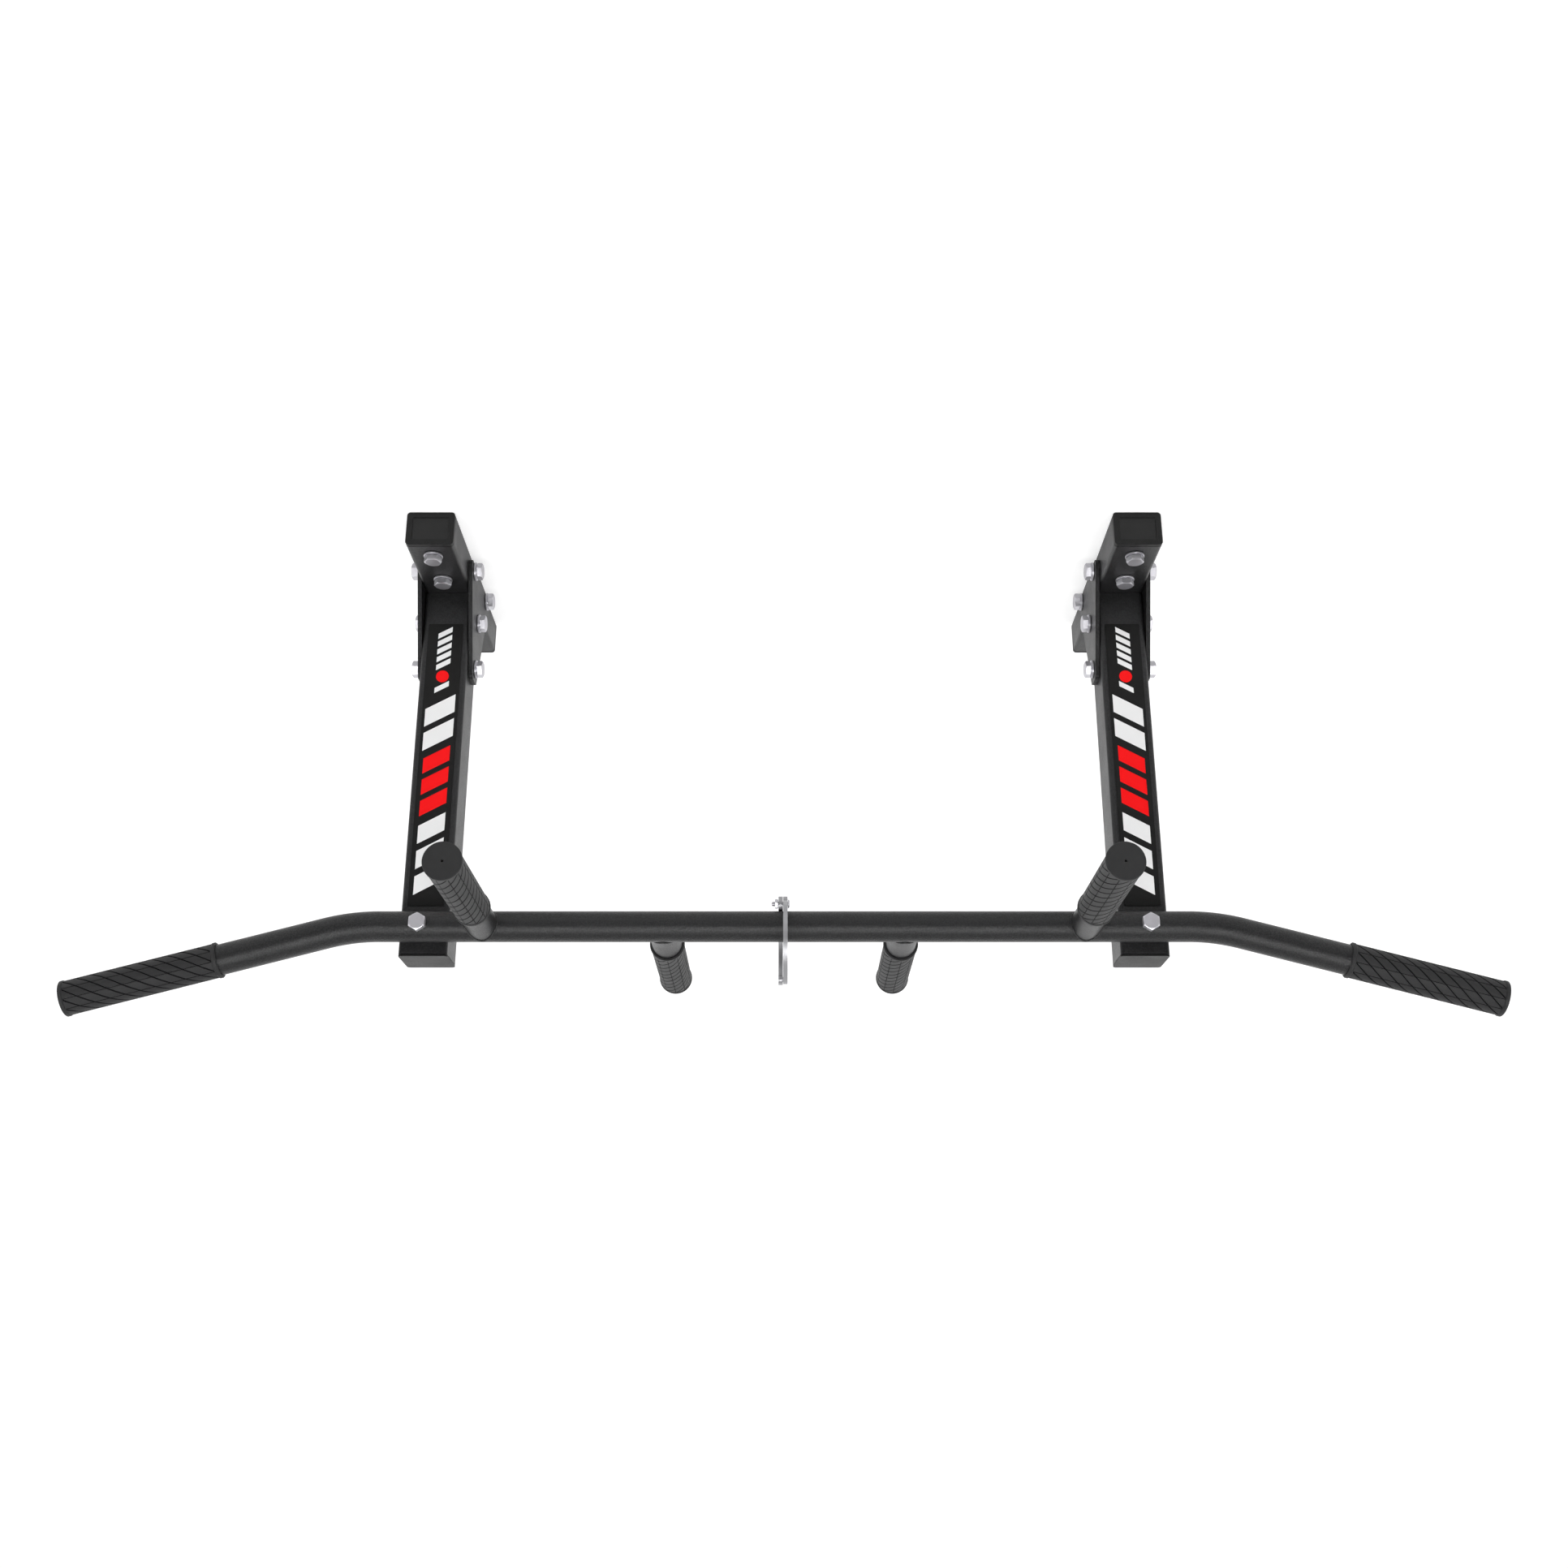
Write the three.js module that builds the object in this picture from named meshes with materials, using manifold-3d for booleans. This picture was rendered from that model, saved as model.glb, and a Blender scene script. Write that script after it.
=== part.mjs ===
// A ceiling-mounted pull up bar: two brackets, one bent round bar, four straight handles,
// six rubber grips and a split ring for a bag or straps.
// Millimetres, +Z up. X runs along the bar and -Y faces the person who hangs from it.
// The origin lies on the ceiling plane, midway between the brackets.

import * as THREE from 'three';
import { mergeVertices } from 'three/addons/utils/BufferGeometryUtils.js';
import Module from 'manifold-3d';

const wasm = await Module();
wasm.setup();

// ---------- driving dimensions ----------

const touchGap = 0.3;          // between pieces that rest on each other
const boltClearance = 0.3;     // between a shank and its hole, on the radius
const sectionWidth = 40;       // rail and post width, along X
const sectionWall = 2;
const sectionCorner = 3;       // outer corner radius of both box sections
const railHeight = 30;
const railLength = 210;        // without its caps
const railCapThickness = 4;
const postDepth = 40;
const postSpacing = 588;       // between the middles of the two posts
const postDrop = 357.2;        // ceiling to the underside of the post plug
const postPlugThickness = 1.5;
const plugStubLength = 9;      // the part of a cap that is pushed into its tube
const plugStubWall = 2;
const capPanelBorder = 5;
const capPanelDepth = 0.6;

const gussetThickness = 3.5;
const gussetAboveBolts = 6;    // from the rail bolts up to its top edge
const gussetBelowBolts = 12;   // from the lowest post bolt down to its bottom edge
const gussetPastBolts = 15;    // from a rail bolt to the end of its top edge
const gussetBottomWidth = 18;
const gussetCorner = 4;

const boltDiameter = 8;
const boltHexFlats = 13;
const boltHeadHeight = 5.3;
const boltNutHeight = 6.5;
const boltWasherDiameter = 16;
const boltWasherThickness = 1.6;
const boltEndInset = 0.2;      // a bolt's end lies this far inside its nut's face
const railBoltSpacing = 60;    // between the two bolts that cross the rail
const postBoltDrops = [21, 65];    // from the rail's underside to each bolt that crosses the post
const screwFromRailEnd = 15;   // from the rail's end to the nearest ceiling screw
const screwFromRailBolt = 16;  // from a rail bolt to the next ceiling screw
const ceilingScrewEmbed = 50;  // length above the ceiling plane
const ceilingScrewPoint = 8;

const barDiameter = 25;
const barWall = 2;
const barAbovePostEnd = 21.2;  // from the underside of the post plug up to the bar's axis
const barCornerFromPost = 55;  // from the post to where the straight and bent stretch would meet
const barBendRadius = 170;
const barDroop = 14.8;         // degrees down
const barEndReach = 233;       // from that corner to the outer end of the grip

const handleReach = 180;       // from the bar's axis to the outer end of the grip
const frontHandleFromPost = 51;
const rearHandleX = 98;

const gripLength = 125;
const gripWall = 1.2;
const gripFlangeRise = 0.6;
const gripFlangeThickness = 3;
const gripEndWall = 4;
const gripVentDiameter = 2;

const stickerBorder = 5;       // bare post on either side of the sticker
const stickerThickness = 0.4;
const stickerFromRail = 31;
const stickerFromBar = 8.5;

const ringX = -0.8;            // it hangs a little to the left of the middle
const ringPlate = 3.5;         // thickness of each ring half
const ringInnerDiameter = 52.5;
const ringBand = 7.8;          // width of the ring between its inner and outer edge
const ringEarRadius = 6.1;
const ringEarRise = 6.5;       // ear bolt above the bar's top
const ringBoltDiameter = 4;
const ringNutFlats = 7;
const ringHeadDiameter = 7.4;
const ringHeadHeight = 1.4;
const ringNutHeight = 2.6;
const ringBoltPastNut = 2.6;
const ringRivetDiameter = 4;
const ringRivetHeadDiameter = 6;
const ringRivetHeadDepth = 1;  // its countersunk heads lie flush with the plates

const roundSides = 20;         // facets of the tubes, grips and washers
const shankSides = 10;
const cornerSides = 2;         // facets of one rounded corner
const ringSides = 20;          // facets of half a ring
const bendSteps = 4;
const arcPointsPerSegment = 2; // a shape's arc gets twice as many facets as it has segments

// ---------- places worked out from them ----------

const up = new THREE.Vector3(0, 0, 1);
const barRadius = barDiameter / 2;
const postFront = -postDepth / 2;
const barY = postFront - touchGap - barRadius;
const barHeight = -postDrop + barAbovePostEnd;   // the height of the handles too
const postX = postSpacing / 2;
const barCornerX = postX + barCornerFromPost;
const frontHandleX = postX - frontHandleFromPost;
const railBoltZ = -railHeight / 2;
const railBoltPlaces = [-railBoltSpacing / 2, railBoltSpacing / 2];
const postBoltHeights = postBoltDrops.map((drop) => -railHeight - drop);
const gussetTop = railBoltZ + gussetAboveBolts;
const gussetBottom = Math.min(...postBoltHeights) - gussetBelowBolts;
const gussetTopWidth = railBoltSpacing + 2 * gussetPastBolts;
const outerScrew = railLength / 2 - screwFromRailEnd;
const innerScrew = railBoltSpacing / 2 + screwFromRailBolt;
const ceilingScrewPlaces = [-outerScrew, -innerScrew, innerScrew, outerScrew];
const stickerTop = -railHeight - stickerFromRail;
const stickerBottom = barHeight + barRadius + stickerFromBar;
const postTop = -railHeight - touchGap;
const postTubeBottom = -postDrop + postPlugThickness + touchGap;
const boltHoleRadius = boltDiameter / 2 + boltClearance;
const gussetInnerFace = sectionWidth / 2 + touchGap;
const gussetOuterFace = gussetInnerFace + gussetThickness;
const gripBoreRadius = barRadius + touchGap;
const gripRadius = gripBoreRadius + gripWall;
const tubeEndInset = gripEndWall + touchGap;
const ringCentreZ = barHeight + barRadius + touchGap - ringInnerDiameter / 2;
const ringOuterRadius = ringInnerDiameter / 2 + ringBand;
const ringEarZ = barHeight + barRadius + ringEarRise;
const ringRivetZ = ringCentreZ - ringInnerDiameter / 2 - ringBand / 2;

// ---------- finishes ----------

const blackCoat = finish(0x1d1d1f, 0.42, 0.15);
const blackPlastic = finish(0x161617, 0.5, 0);
const greyRubber = finish(0x2f2f31, 0.85, 0);
const zinc = finish(0xc9c7d2, 0.3, 1);
const ringSteel = finish(0xb9bbbf, 0.35, 1);
const stickerFilm = finish(0x151515, 0.55, 0);

function finish(color, roughness, metalness) {
  return new THREE.MeshStandardMaterial({ color, roughness, metalness });
}

// ---------- solids ----------

function toSolid(geometry) {
  const bare = geometry.clone();
  bare.deleteAttribute('normal');
  bare.deleteAttribute('uv');
  const merged = mergeVertices(bare, 1e-4);
  return new wasm.Manifold(new wasm.Mesh({
    numProp: 3,
    vertProperties: merged.attributes.position.array,
    triVerts: new Uint32Array(merged.index.array),
  }));
}

function toGeometry(solid) {
  const mesh = solid.getMesh();
  const geometry = new THREE.BufferGeometry();
  geometry.setAttribute('position', new THREE.BufferAttribute(mesh.vertProperties, mesh.numProp));
  geometry.setIndex(new THREE.BufferAttribute(mesh.triVerts, 1));
  return geometry;
}

function join(first, ...others) {
  return toGeometry(others.reduce((whole, other) => whole.add(toSolid(other)), toSolid(first)));
}

function cut(body, ...tools) {
  return toGeometry(tools.reduce((whole, tool) => whole.subtract(toSolid(tool)), toSolid(body)));
}

// A round rod along Z, from its low end to its high end.
function rod(radius, low, high, sides = shankSides) {
  const geometry = new THREE.CylinderGeometry(radius, radius, high - low, sides);
  return geometry.rotateX(Math.PI / 2).translate(0, 0, (low + high) / 2);
}

// A hexagonal prism along Z, its size given across the flats.
function hexRod(flats, low, high) {
  return rod(flats / 2 / Math.cos(Math.PI / 6), low, high, 6);
}

function extrude(shape, low, high) {
  const geometry = new THREE.ExtrudeGeometry(shape, {
    depth: high - low, bevelEnabled: false, curveSegments: cornerSides / arcPointsPerSegment,
  });
  return geometry.translate(0, 0, low);
}

// A rectangle about the origin with round corners.
function roundedRectangle(width, height, corner) {
  const x = width / 2 - corner;
  const y = height / 2 - corner;
  const shape = new THREE.Shape();
  shape.absarc(x, y, corner, 0, Math.PI / 2);
  shape.absarc(-x, y, corner, Math.PI / 2, Math.PI);
  shape.absarc(-x, -y, corner, Math.PI, 1.5 * Math.PI);
  shape.absarc(x, -y, corner, 1.5 * Math.PI, 2 * Math.PI);
  shape.closePath();
  return shape;
}

// The cross-section of a box tube, with its hollow as a hole.
function boxSection(width, height) {
  const section = roundedRectangle(width, height, sectionCorner);
  const hollow = roundedRectangle(width - 2 * sectionWall, height - 2 * sectionWall,
    sectionCorner - sectionWall);
  section.holes.push(hollow);
  return section;
}

function tubeSection(outerRadius, innerRadius) {
  const section = new THREE.Shape();
  section.absarc(0, 0, outerRadius, 0, 2 * Math.PI);
  const hollow = new THREE.Path();
  hollow.absarc(0, 0, innerRadius, 0, 2 * Math.PI, true);
  section.holes.push(hollow);
  return section;
}

// ---------- bracket pieces ----------

function railGeometry() {
  const half = railLength / 2;
  const tube = extrude(boxSection(sectionWidth, railHeight), -half, half);
  tube.rotateX(Math.PI / 2).translate(0, 0, railBoltZ);
  const across = railBoltPlaces.map((y) => rod(boltHoleRadius, -sectionWidth, sectionWidth)
    .rotateY(Math.PI / 2).translate(0, y, railBoltZ));
  const upwards = ceilingScrewPlaces.map((y) => rod(boltHoleRadius, -2 * railHeight, railHeight)
    .translate(0, y, 0));
  return cut(tube, ...across, ...upwards);
}

// A cap lies against its tube's end at z = 0: the lip is above and the stub goes down inside.
function capGeometry(width, height, thickness, hasPanel) {
  const lip = extrude(roundedRectangle(width, height, sectionCorner), 0, thickness);
  const inset = 2 * (sectionWall + touchGap);
  const stub = extrude(roundedRectangle(width - inset, height - inset, 1), -plugStubLength, 1);
  const hollowWall = inset + 2 * plugStubWall;
  const hollow = extrude(roundedRectangle(width - hollowWall, height - hollowWall, 1),
    -plugStubLength - 1, -1);
  const tools = [hollow];
  if (hasPanel) {
    const panelBorder = 2 * capPanelBorder;
    tools.push(extrude(roundedRectangle(width - panelBorder, height - panelBorder, 1),
      thickness - capPanelDepth, thickness + 1));
  }
  return cut(join(lip, stub), ...tools);
}

function postGeometry() {
  const tube = extrude(boxSection(sectionWidth, postDepth), postTubeBottom, postTop);
  const across = postBoltHeights.map((z) => rod(boltHoleRadius, -sectionWidth, sectionWidth)
    .rotateY(Math.PI / 2).translate(0, 0, z));
  const forward = rod(boltHoleRadius, -postDepth, postDepth)
    .rotateX(Math.PI / 2).translate(0, 0, barHeight);
  return cut(tube, ...across, forward);
}

// The gusset outline is drawn in the (Y, Z) plane, with round corners.
function gussetGeometry() {
  const topHalf = gussetTopWidth / 2;
  const bottomHalf = gussetBottomWidth / 2;
  const slope = (topHalf - bottomHalf) / (gussetTop - gussetBottom);
  const lean = Math.atan(slope);
  const halfWidth = (z) => bottomHalf + slope * (z - gussetBottom);
  const arcZ = { top: gussetTop - gussetCorner, bottom: gussetBottom + gussetCorner };
  const inset = gussetCorner / Math.cos(lean);
  const arcY = { top: halfWidth(arcZ.top) - inset, bottom: halfWidth(arcZ.bottom) - inset };
  const shape = new THREE.Shape();
  shape.absarc(arcY.top, arcZ.top, gussetCorner, -lean, Math.PI / 2);
  shape.absarc(-arcY.top, arcZ.top, gussetCorner, Math.PI / 2, Math.PI + lean);
  shape.absarc(-arcY.bottom, arcZ.bottom, gussetCorner, Math.PI + lean, 1.5 * Math.PI);
  shape.absarc(arcY.bottom, arcZ.bottom, gussetCorner, 1.5 * Math.PI, 2 * Math.PI - lean);
  shape.closePath();
  const holes = [
    ...railBoltPlaces.map((y) => [y, railBoltZ]),
    ...postBoltHeights.map((z) => [0, z]),
  ].map(([y, z]) => rod(boltHoleRadius, -1, gussetThickness + 1).translate(y, z, 0));
  // Drawn flat, then stood up so that the outline's x is Y and its y is Z.
  const plate = cut(extrude(shape, 0, gussetThickness), ...holes);
  return plate.rotateX(Math.PI / 2).rotateZ(Math.PI / 2);
}

// A bolt's bearing face is at z = 0, its head above and its shank below.
function boltGeometry(shankLength, washerThickness) {
  const parts = [rod(boltDiameter / 2, -shankLength, washerThickness + 1)];
  if (washerThickness > 0) {
    parts.push(rod(boltWasherDiameter / 2, 0, washerThickness, roundSides));
  }
  const headLow = Math.max(washerThickness - 0.5, 0);
  return join(hexRod(boltHexFlats, headLow, washerThickness + boltHeadHeight), ...parts);
}

function nutGeometry() {
  return cut(hexRod(boltHexFlats, 0, boltNutHeight), rod(boltHoleRadius, -1, boltNutHeight + 1));
}

function ceilingScrewGeometry() {
  const shankLength = railHeight + touchGap + ceilingScrewEmbed;
  const point = new THREE.CylinderGeometry(boltDiameter / 2, 0.5, ceilingScrewPoint, shankSides)
    .rotateX(Math.PI / 2).translate(0, 0, -shankLength - ceilingScrewPoint / 2 + 0.01);
  return join(boltGeometry(shankLength, boltWasherThickness), point);
}

// ---------- bar, handles and grips ----------

// The unit direction in which an end of the bar points: 1 for the right-hand end, -1 for the left.
function barEndDirection(side) {
  const droop = THREE.MathUtils.degToRad(barDroop);
  return new THREE.Vector3(side * Math.cos(droop), 0, -Math.sin(droop));
}

const barCorner = new THREE.Vector3(barCornerX, barY, barHeight);

// The bar's centre line, with its steps spent on the two bends.
class BarPath extends THREE.Curve {
  constructor() {
    super();
    this.bendAngle = THREE.MathUtils.degToRad(barDroop);
    this.bendStart = barCornerX - barBendRadius * Math.tan(this.bendAngle / 2);
    this.steps = 2 * (bendSteps + 2);
  }

  // The right half, counted in steps from the middle of the bar.
  half(step) {
    if (step <= 1) {
      return new THREE.Vector3(this.bendStart * step, barY, barHeight);
    }
    if (step <= 1 + bendSteps) {
      const angle = this.bendAngle * (step - 1) / bendSteps;
      return new THREE.Vector3(this.bendStart + barBendRadius * Math.sin(angle), barY,
        barHeight - barBendRadius * (1 - Math.cos(angle)));
    }
    const bendEnd = this.half(1 + bendSteps);
    const tubeEnd = barCorner.clone().addScaledVector(barEndDirection(1), barEndReach - tubeEndInset);
    return bendEnd.lerp(tubeEnd, step - 1 - bendSteps);
  }

  getPoint(t) {
    const step = (2 * t - 1) * this.steps / 2;
    const point = this.half(Math.abs(step));
    point.x *= Math.sign(step);
    return point;
  }

  getUtoTmapping(u) {
    return u;
  }
}

function mainBarGeometry() {
  const path = new BarPath();
  const tube = new THREE.ExtrudeGeometry(tubeSection(barRadius, barRadius - barWall), {
    steps: path.steps, extrudePath: path, curveSegments: roundSides / arcPointsPerSegment,
  });
  const holes = [-1, 1].map((side) => rod(boltHoleRadius, -barDiameter, barDiameter)
    .rotateX(Math.PI / 2).translate(side * postX, barY, barHeight));
  return cut(tube, ...holes);
}

// A handle points along +Z from the bar's axis, which lies along X through its origin.
function handleGeometry() {
  const tube = new THREE.ExtrudeGeometry(tubeSection(barRadius, barRadius - barWall), {
    depth: handleReach - tubeEndInset, bevelEnabled: false,
    curveSegments: roundSides / arcPointsPerSegment,
  });
  const saddle = rod(gripBoreRadius, -barDiameter, barDiameter, 2 * roundSides).rotateY(Math.PI / 2);
  return cut(tube, saddle);
}

// A grip's closed outer end is at z = 0 and its sleeve reaches down from there.
function gripGeometry() {
  const body = gripRadius;
  const step = gripFlangeRise;
  const flange = body + step;
  const vent = gripVentDiameter / 2;
  const outline = [
    [gripBoreRadius, -gripLength],
    [flange, -gripLength],
    [flange, -gripLength + gripFlangeThickness],
    [body, -gripLength + gripFlangeThickness + step],
    [body, -gripFlangeThickness - step],
    [flange, -gripFlangeThickness],
    [flange, 0],
    [vent, 0],
    [vent, -gripEndWall],
    [gripBoreRadius, -gripEndWall],
    [gripBoreRadius, -gripLength],
  ];
  const points = outline.map(([radius, along]) => new THREE.Vector2(radius, along));
  return new THREE.LatheGeometry(points, roundSides).rotateX(Math.PI / 2);
}

// ---------- ring ----------

// Half the ring, drawn in the (Y, Z) plane: the front half, or turned round to make the rear half.
function ringHalfGeometry(isRear) {
  const centre = ringCentreZ;
  const inner = ringInnerDiameter / 2;
  const half = new THREE.Shape();
  half.absarc(0, centre, ringOuterRadius, Math.PI / 2, 1.5 * Math.PI, false);
  half.absarc(0, centre, inner, 1.5 * Math.PI, Math.PI / 2, true);
  half.closePath();
  const band = new THREE.ExtrudeGeometry(half, {
    depth: ringPlate, bevelEnabled: false, curveSegments: ringSides / arcPointsPerSegment,
  });
  const topEar = rod(ringEarRadius, 0, ringPlate, roundSides).translate(0, ringEarZ, 0);
  const lowEar = rod(ringBand / 2, 0, ringPlate, roundSides).translate(0, ringRivetZ, 0);
  const eye = rod(inner, -1, ringPlate + 1, 2 * ringSides).translate(0, centre, 0);
  const boltHole = rod(ringBoltDiameter / 2 + boltClearance, -1, ringPlate + 1)
    .translate(0, ringEarZ, 0);
  const rivetHole = rod(ringRivetDiameter / 2 + boltClearance, -1, ringPlate + 1)
    .translate(0, ringRivetZ, 0);
  const sink = rivetHead(boltClearance).translate(0, ringRivetZ, ringPlate);
  const flat = cut(join(band, topEar, lowEar), eye, boltHole, rivetHole, sink);
  if (isRear) {
    flat.rotateY(Math.PI).translate(0, 0, ringPlate);
  }
  return flat.rotateX(Math.PI / 2).rotateZ(Math.PI / 2);
}

// A countersunk head whose flat face is at z = 0, narrowing downwards to the rivet's shank.
function rivetHead(clearance) {
  const wide = ringRivetHeadDiameter / 2 + clearance;
  const narrow = ringRivetDiameter / 2 + clearance;
  const height = ringRivetHeadDepth;
  return new THREE.CylinderGeometry(wide, narrow, height, roundSides)
    .rotateX(Math.PI / 2).translate(0, 0, -height / 2);
}

function ringBoltGeometry() {
  const shankLength = 2 * (ringPlate + touchGap) + touchGap + ringNutHeight + ringBoltPastNut;
  const head = rod(ringHeadDiameter / 2, 0, ringHeadHeight, roundSides);
  return join(head, rod(ringBoltDiameter / 2, -shankLength, 1));
}

function ringNutGeometry() {
  const hole = rod(ringBoltDiameter / 2 + boltClearance, -1, ringNutHeight + 1);
  return cut(hexRod(ringNutFlats, 0, ringNutHeight), hole);
}

// The rivet lies along Z through the origin and ends flush with the ring's outer faces.
function ringRivetGeometry() {
  const face = ringPlate + touchGap / 2;
  const upper = rivetHead(0).translate(0, 0, face);
  const lower = rivetHead(0).rotateX(Math.PI).translate(0, 0, -face);
  return join(rod(ringRivetDiameter / 2, -face + 0.1, face - 0.1), upper, lower);
}

// ---------- assembly ----------

const group = new THREE.Group();

// Adds a named mesh at a place, with its own +Z turned to the direction given.
function add(name, geometry, material, place = new THREE.Vector3(), direction = up) {
  const mesh = new THREE.Mesh(geometry, material);
  mesh.name = name;
  mesh.position.copy(place);
  mesh.quaternion.setFromUnitVectors(up, direction);
  group.add(mesh);
}

function vector(x, y, z) {
  return new THREE.Vector3(x, y, z);
}

function addBracket(side, sideName) {
  const x = side * postX;
  const inward = vector(-side, 0, 0);
  const outward = vector(side, 0, 0);
  const front = vector(0, -1, 0);
  const rear = vector(0, 1, 0);

  add(`${sideName}_rail`, railGeometry(), blackCoat, vector(x, 0, 0));
  for (const [endName, end] of [['front', front], ['rear', rear]]) {
    const cap = capGeometry(sectionWidth, railHeight, railCapThickness, true);
    const place = vector(x, end.y * (railLength / 2 + touchGap), railBoltZ);
    add(`${sideName}_rail_${endName}_cap`, cap, blackPlastic, place, end);
  }

  add(`${sideName}_post`, postGeometry(), blackCoat, vector(x, 0, 0));
  const plug = capGeometry(sectionWidth, postDepth, postPlugThickness, false);
  add(`${sideName}_post_plug`, plug, blackPlastic,
    vector(x, 0, -postDrop + postPlugThickness), vector(0, 0, -1));

  const innerLow = side > 0 ? x - gussetOuterFace : x + gussetInnerFace;
  const outerLow = side > 0 ? x + gussetInnerFace : x - gussetOuterFace;
  add(`${sideName}_inner_gusset`, gussetGeometry(), blackCoat, vector(innerLow, 0, 0));
  add(`${sideName}_outer_gusset`, gussetGeometry(), blackCoat, vector(outerLow, 0, 0));

  const crossPlaces = [
    ['rail_front', railBoltPlaces[0], railBoltZ],
    ['rail_rear', railBoltPlaces[1], railBoltZ],
    ['post_upper', 0, postBoltHeights[0]],
    ['post_lower', 0, postBoltHeights[1]],
  ];
  const bearing = gussetOuterFace + touchGap;
  const crossLength = 2 * bearing + boltNutHeight - boltEndInset;
  for (const [placeName, y, z] of crossPlaces) {
    add(`${sideName}_${placeName}_bolt`, boltGeometry(crossLength, boltWasherThickness), zinc,
      vector(x - side * bearing, y, z), inward);
    add(`${sideName}_${placeName}_nut`, nutGeometry(), zinc,
      vector(x + side * bearing, y, z), outward);
  }

  ceilingScrewPlaces.forEach((y, index) => {
    add(`${sideName}_ceiling_screw_${index + 1}`, ceilingScrewGeometry(), zinc,
      vector(x, y, -railHeight - touchGap), vector(0, 0, -1));
  });

  const barBearing = barY - barRadius - touchGap;
  const nutBearing = postDepth / 2 + touchGap;
  const barBoltLength = nutBearing - barBearing + boltNutHeight - boltEndInset;
  add(`${sideName}_bar_bolt`, boltGeometry(barBoltLength, 0), zinc,
    vector(x, barBearing, barHeight), front);
  add(`${sideName}_bar_nut`, nutGeometry(), zinc, vector(x, nutBearing, barHeight), rear);

  const stickerWidth = sectionWidth - 2 * stickerBorder;
  const sticker = new THREE.BoxGeometry(stickerWidth, stickerThickness, stickerTop - stickerBottom);
  add(`${sideName}_sticker`, sticker, stickerFilm,
    vector(x, postFront - touchGap - stickerThickness / 2, (stickerTop + stickerBottom) / 2));
}

function addHandle(name, x, direction) {
  const root = vector(x, barY, barHeight);
  add(`${name}_handle`, handleGeometry(), blackCoat, root, direction);
  add(`${name}_grip`, gripGeometry(), greyRubber,
    root.clone().addScaledVector(direction, handleReach), direction);
}

function addRing() {
  const face = ringPlate + 1.5 * touchGap;
  const place = (fromRing, z) => vector(ringX + fromRing, barY, z);
  add('ring_front_half', ringHalfGeometry(false), ringSteel, place(touchGap / 2, 0));
  add('ring_rear_half', ringHalfGeometry(true), ringSteel, place(-touchGap / 2 - ringPlate, 0));
  add('ring_bolt', ringBoltGeometry(), zinc, place(face, ringEarZ), vector(1, 0, 0));
  add('ring_nut', ringNutGeometry(), zinc, place(-face, ringEarZ), vector(-1, 0, 0));
  add('ring_rivet', ringRivetGeometry(), zinc, place(0, ringRivetZ), vector(1, 0, 0));
}

addBracket(-1, 'left');
addBracket(1, 'right');
add('main_bar', mainBarGeometry(), blackCoat);
for (const [sideName, side] of [['left', -1], ['right', 1]]) {
  addHandle(`front_${sideName}`, side * frontHandleX, vector(0, -1, 0));
  addHandle(`rear_${sideName}`, side * rearHandleX, vector(0, 1, 0));
  const direction = barEndDirection(side);
  const corner = vector(side * barCornerX, barY, barHeight);
  add(`${sideName}_end_grip`, gripGeometry(), greyRubber,
    corner.addScaledVector(direction, barEndReach), direction);
}
addRing();

export default group;
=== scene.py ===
# %% [markdown]
# A ceiling-mounted pull up bar: two box-section brackets, a bent round bar with six rubber grips,
# four short handles and a split steel ring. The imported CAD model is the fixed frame; each of its
# parts is made again here with finer edges and finishes, in the same place and in metres.

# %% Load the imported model
import math

import bmesh
import bpy
from mathutils import Matrix, Vector


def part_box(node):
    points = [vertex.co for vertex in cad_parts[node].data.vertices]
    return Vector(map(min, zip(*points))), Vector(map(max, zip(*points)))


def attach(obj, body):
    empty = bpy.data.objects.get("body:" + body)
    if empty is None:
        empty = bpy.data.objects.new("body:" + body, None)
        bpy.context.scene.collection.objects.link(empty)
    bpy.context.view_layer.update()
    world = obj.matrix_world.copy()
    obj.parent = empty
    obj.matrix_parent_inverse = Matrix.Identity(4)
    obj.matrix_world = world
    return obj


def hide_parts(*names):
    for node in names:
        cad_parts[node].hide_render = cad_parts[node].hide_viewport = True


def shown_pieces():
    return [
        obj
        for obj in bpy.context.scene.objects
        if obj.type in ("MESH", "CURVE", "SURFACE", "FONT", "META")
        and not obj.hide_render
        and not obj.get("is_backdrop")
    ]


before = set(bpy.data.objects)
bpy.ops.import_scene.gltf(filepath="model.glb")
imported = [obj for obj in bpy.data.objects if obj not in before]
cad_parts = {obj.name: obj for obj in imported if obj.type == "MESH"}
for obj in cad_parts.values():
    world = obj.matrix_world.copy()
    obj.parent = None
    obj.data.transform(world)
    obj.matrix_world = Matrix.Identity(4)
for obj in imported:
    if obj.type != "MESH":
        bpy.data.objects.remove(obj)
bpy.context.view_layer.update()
mm = 0.001
touch_gap = 0.3 * mm

# %% [markdown]
# The person who hangs from the bar stands below it and in front, so the camera looks up from there.
# A lens close to 40 mm keeps the two posts leaning towards each other only slightly.

# %% Camera
look_up = 19.786
camera_data = bpy.data.cameras.new("camera")
camera_data.sensor_width = 36
camera_data.lens = 39.297
camera_data.clip_start = 0.05
camera = bpy.data.objects.new("camera", camera_data)
camera.location = (0, -1.3754, -0.6963)
camera.rotation_euler = (math.radians(90 + look_up), 0, 0)
bpy.context.collection.objects.link(camera)
bpy.context.scene.camera = camera

# %% [markdown]
# Black paint has hardly any colour of its own, so what it mirrors makes the picture. The world is
# bright behind the bar, dim below it and dark on the camera's side. Camera rays see plain white.

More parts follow.
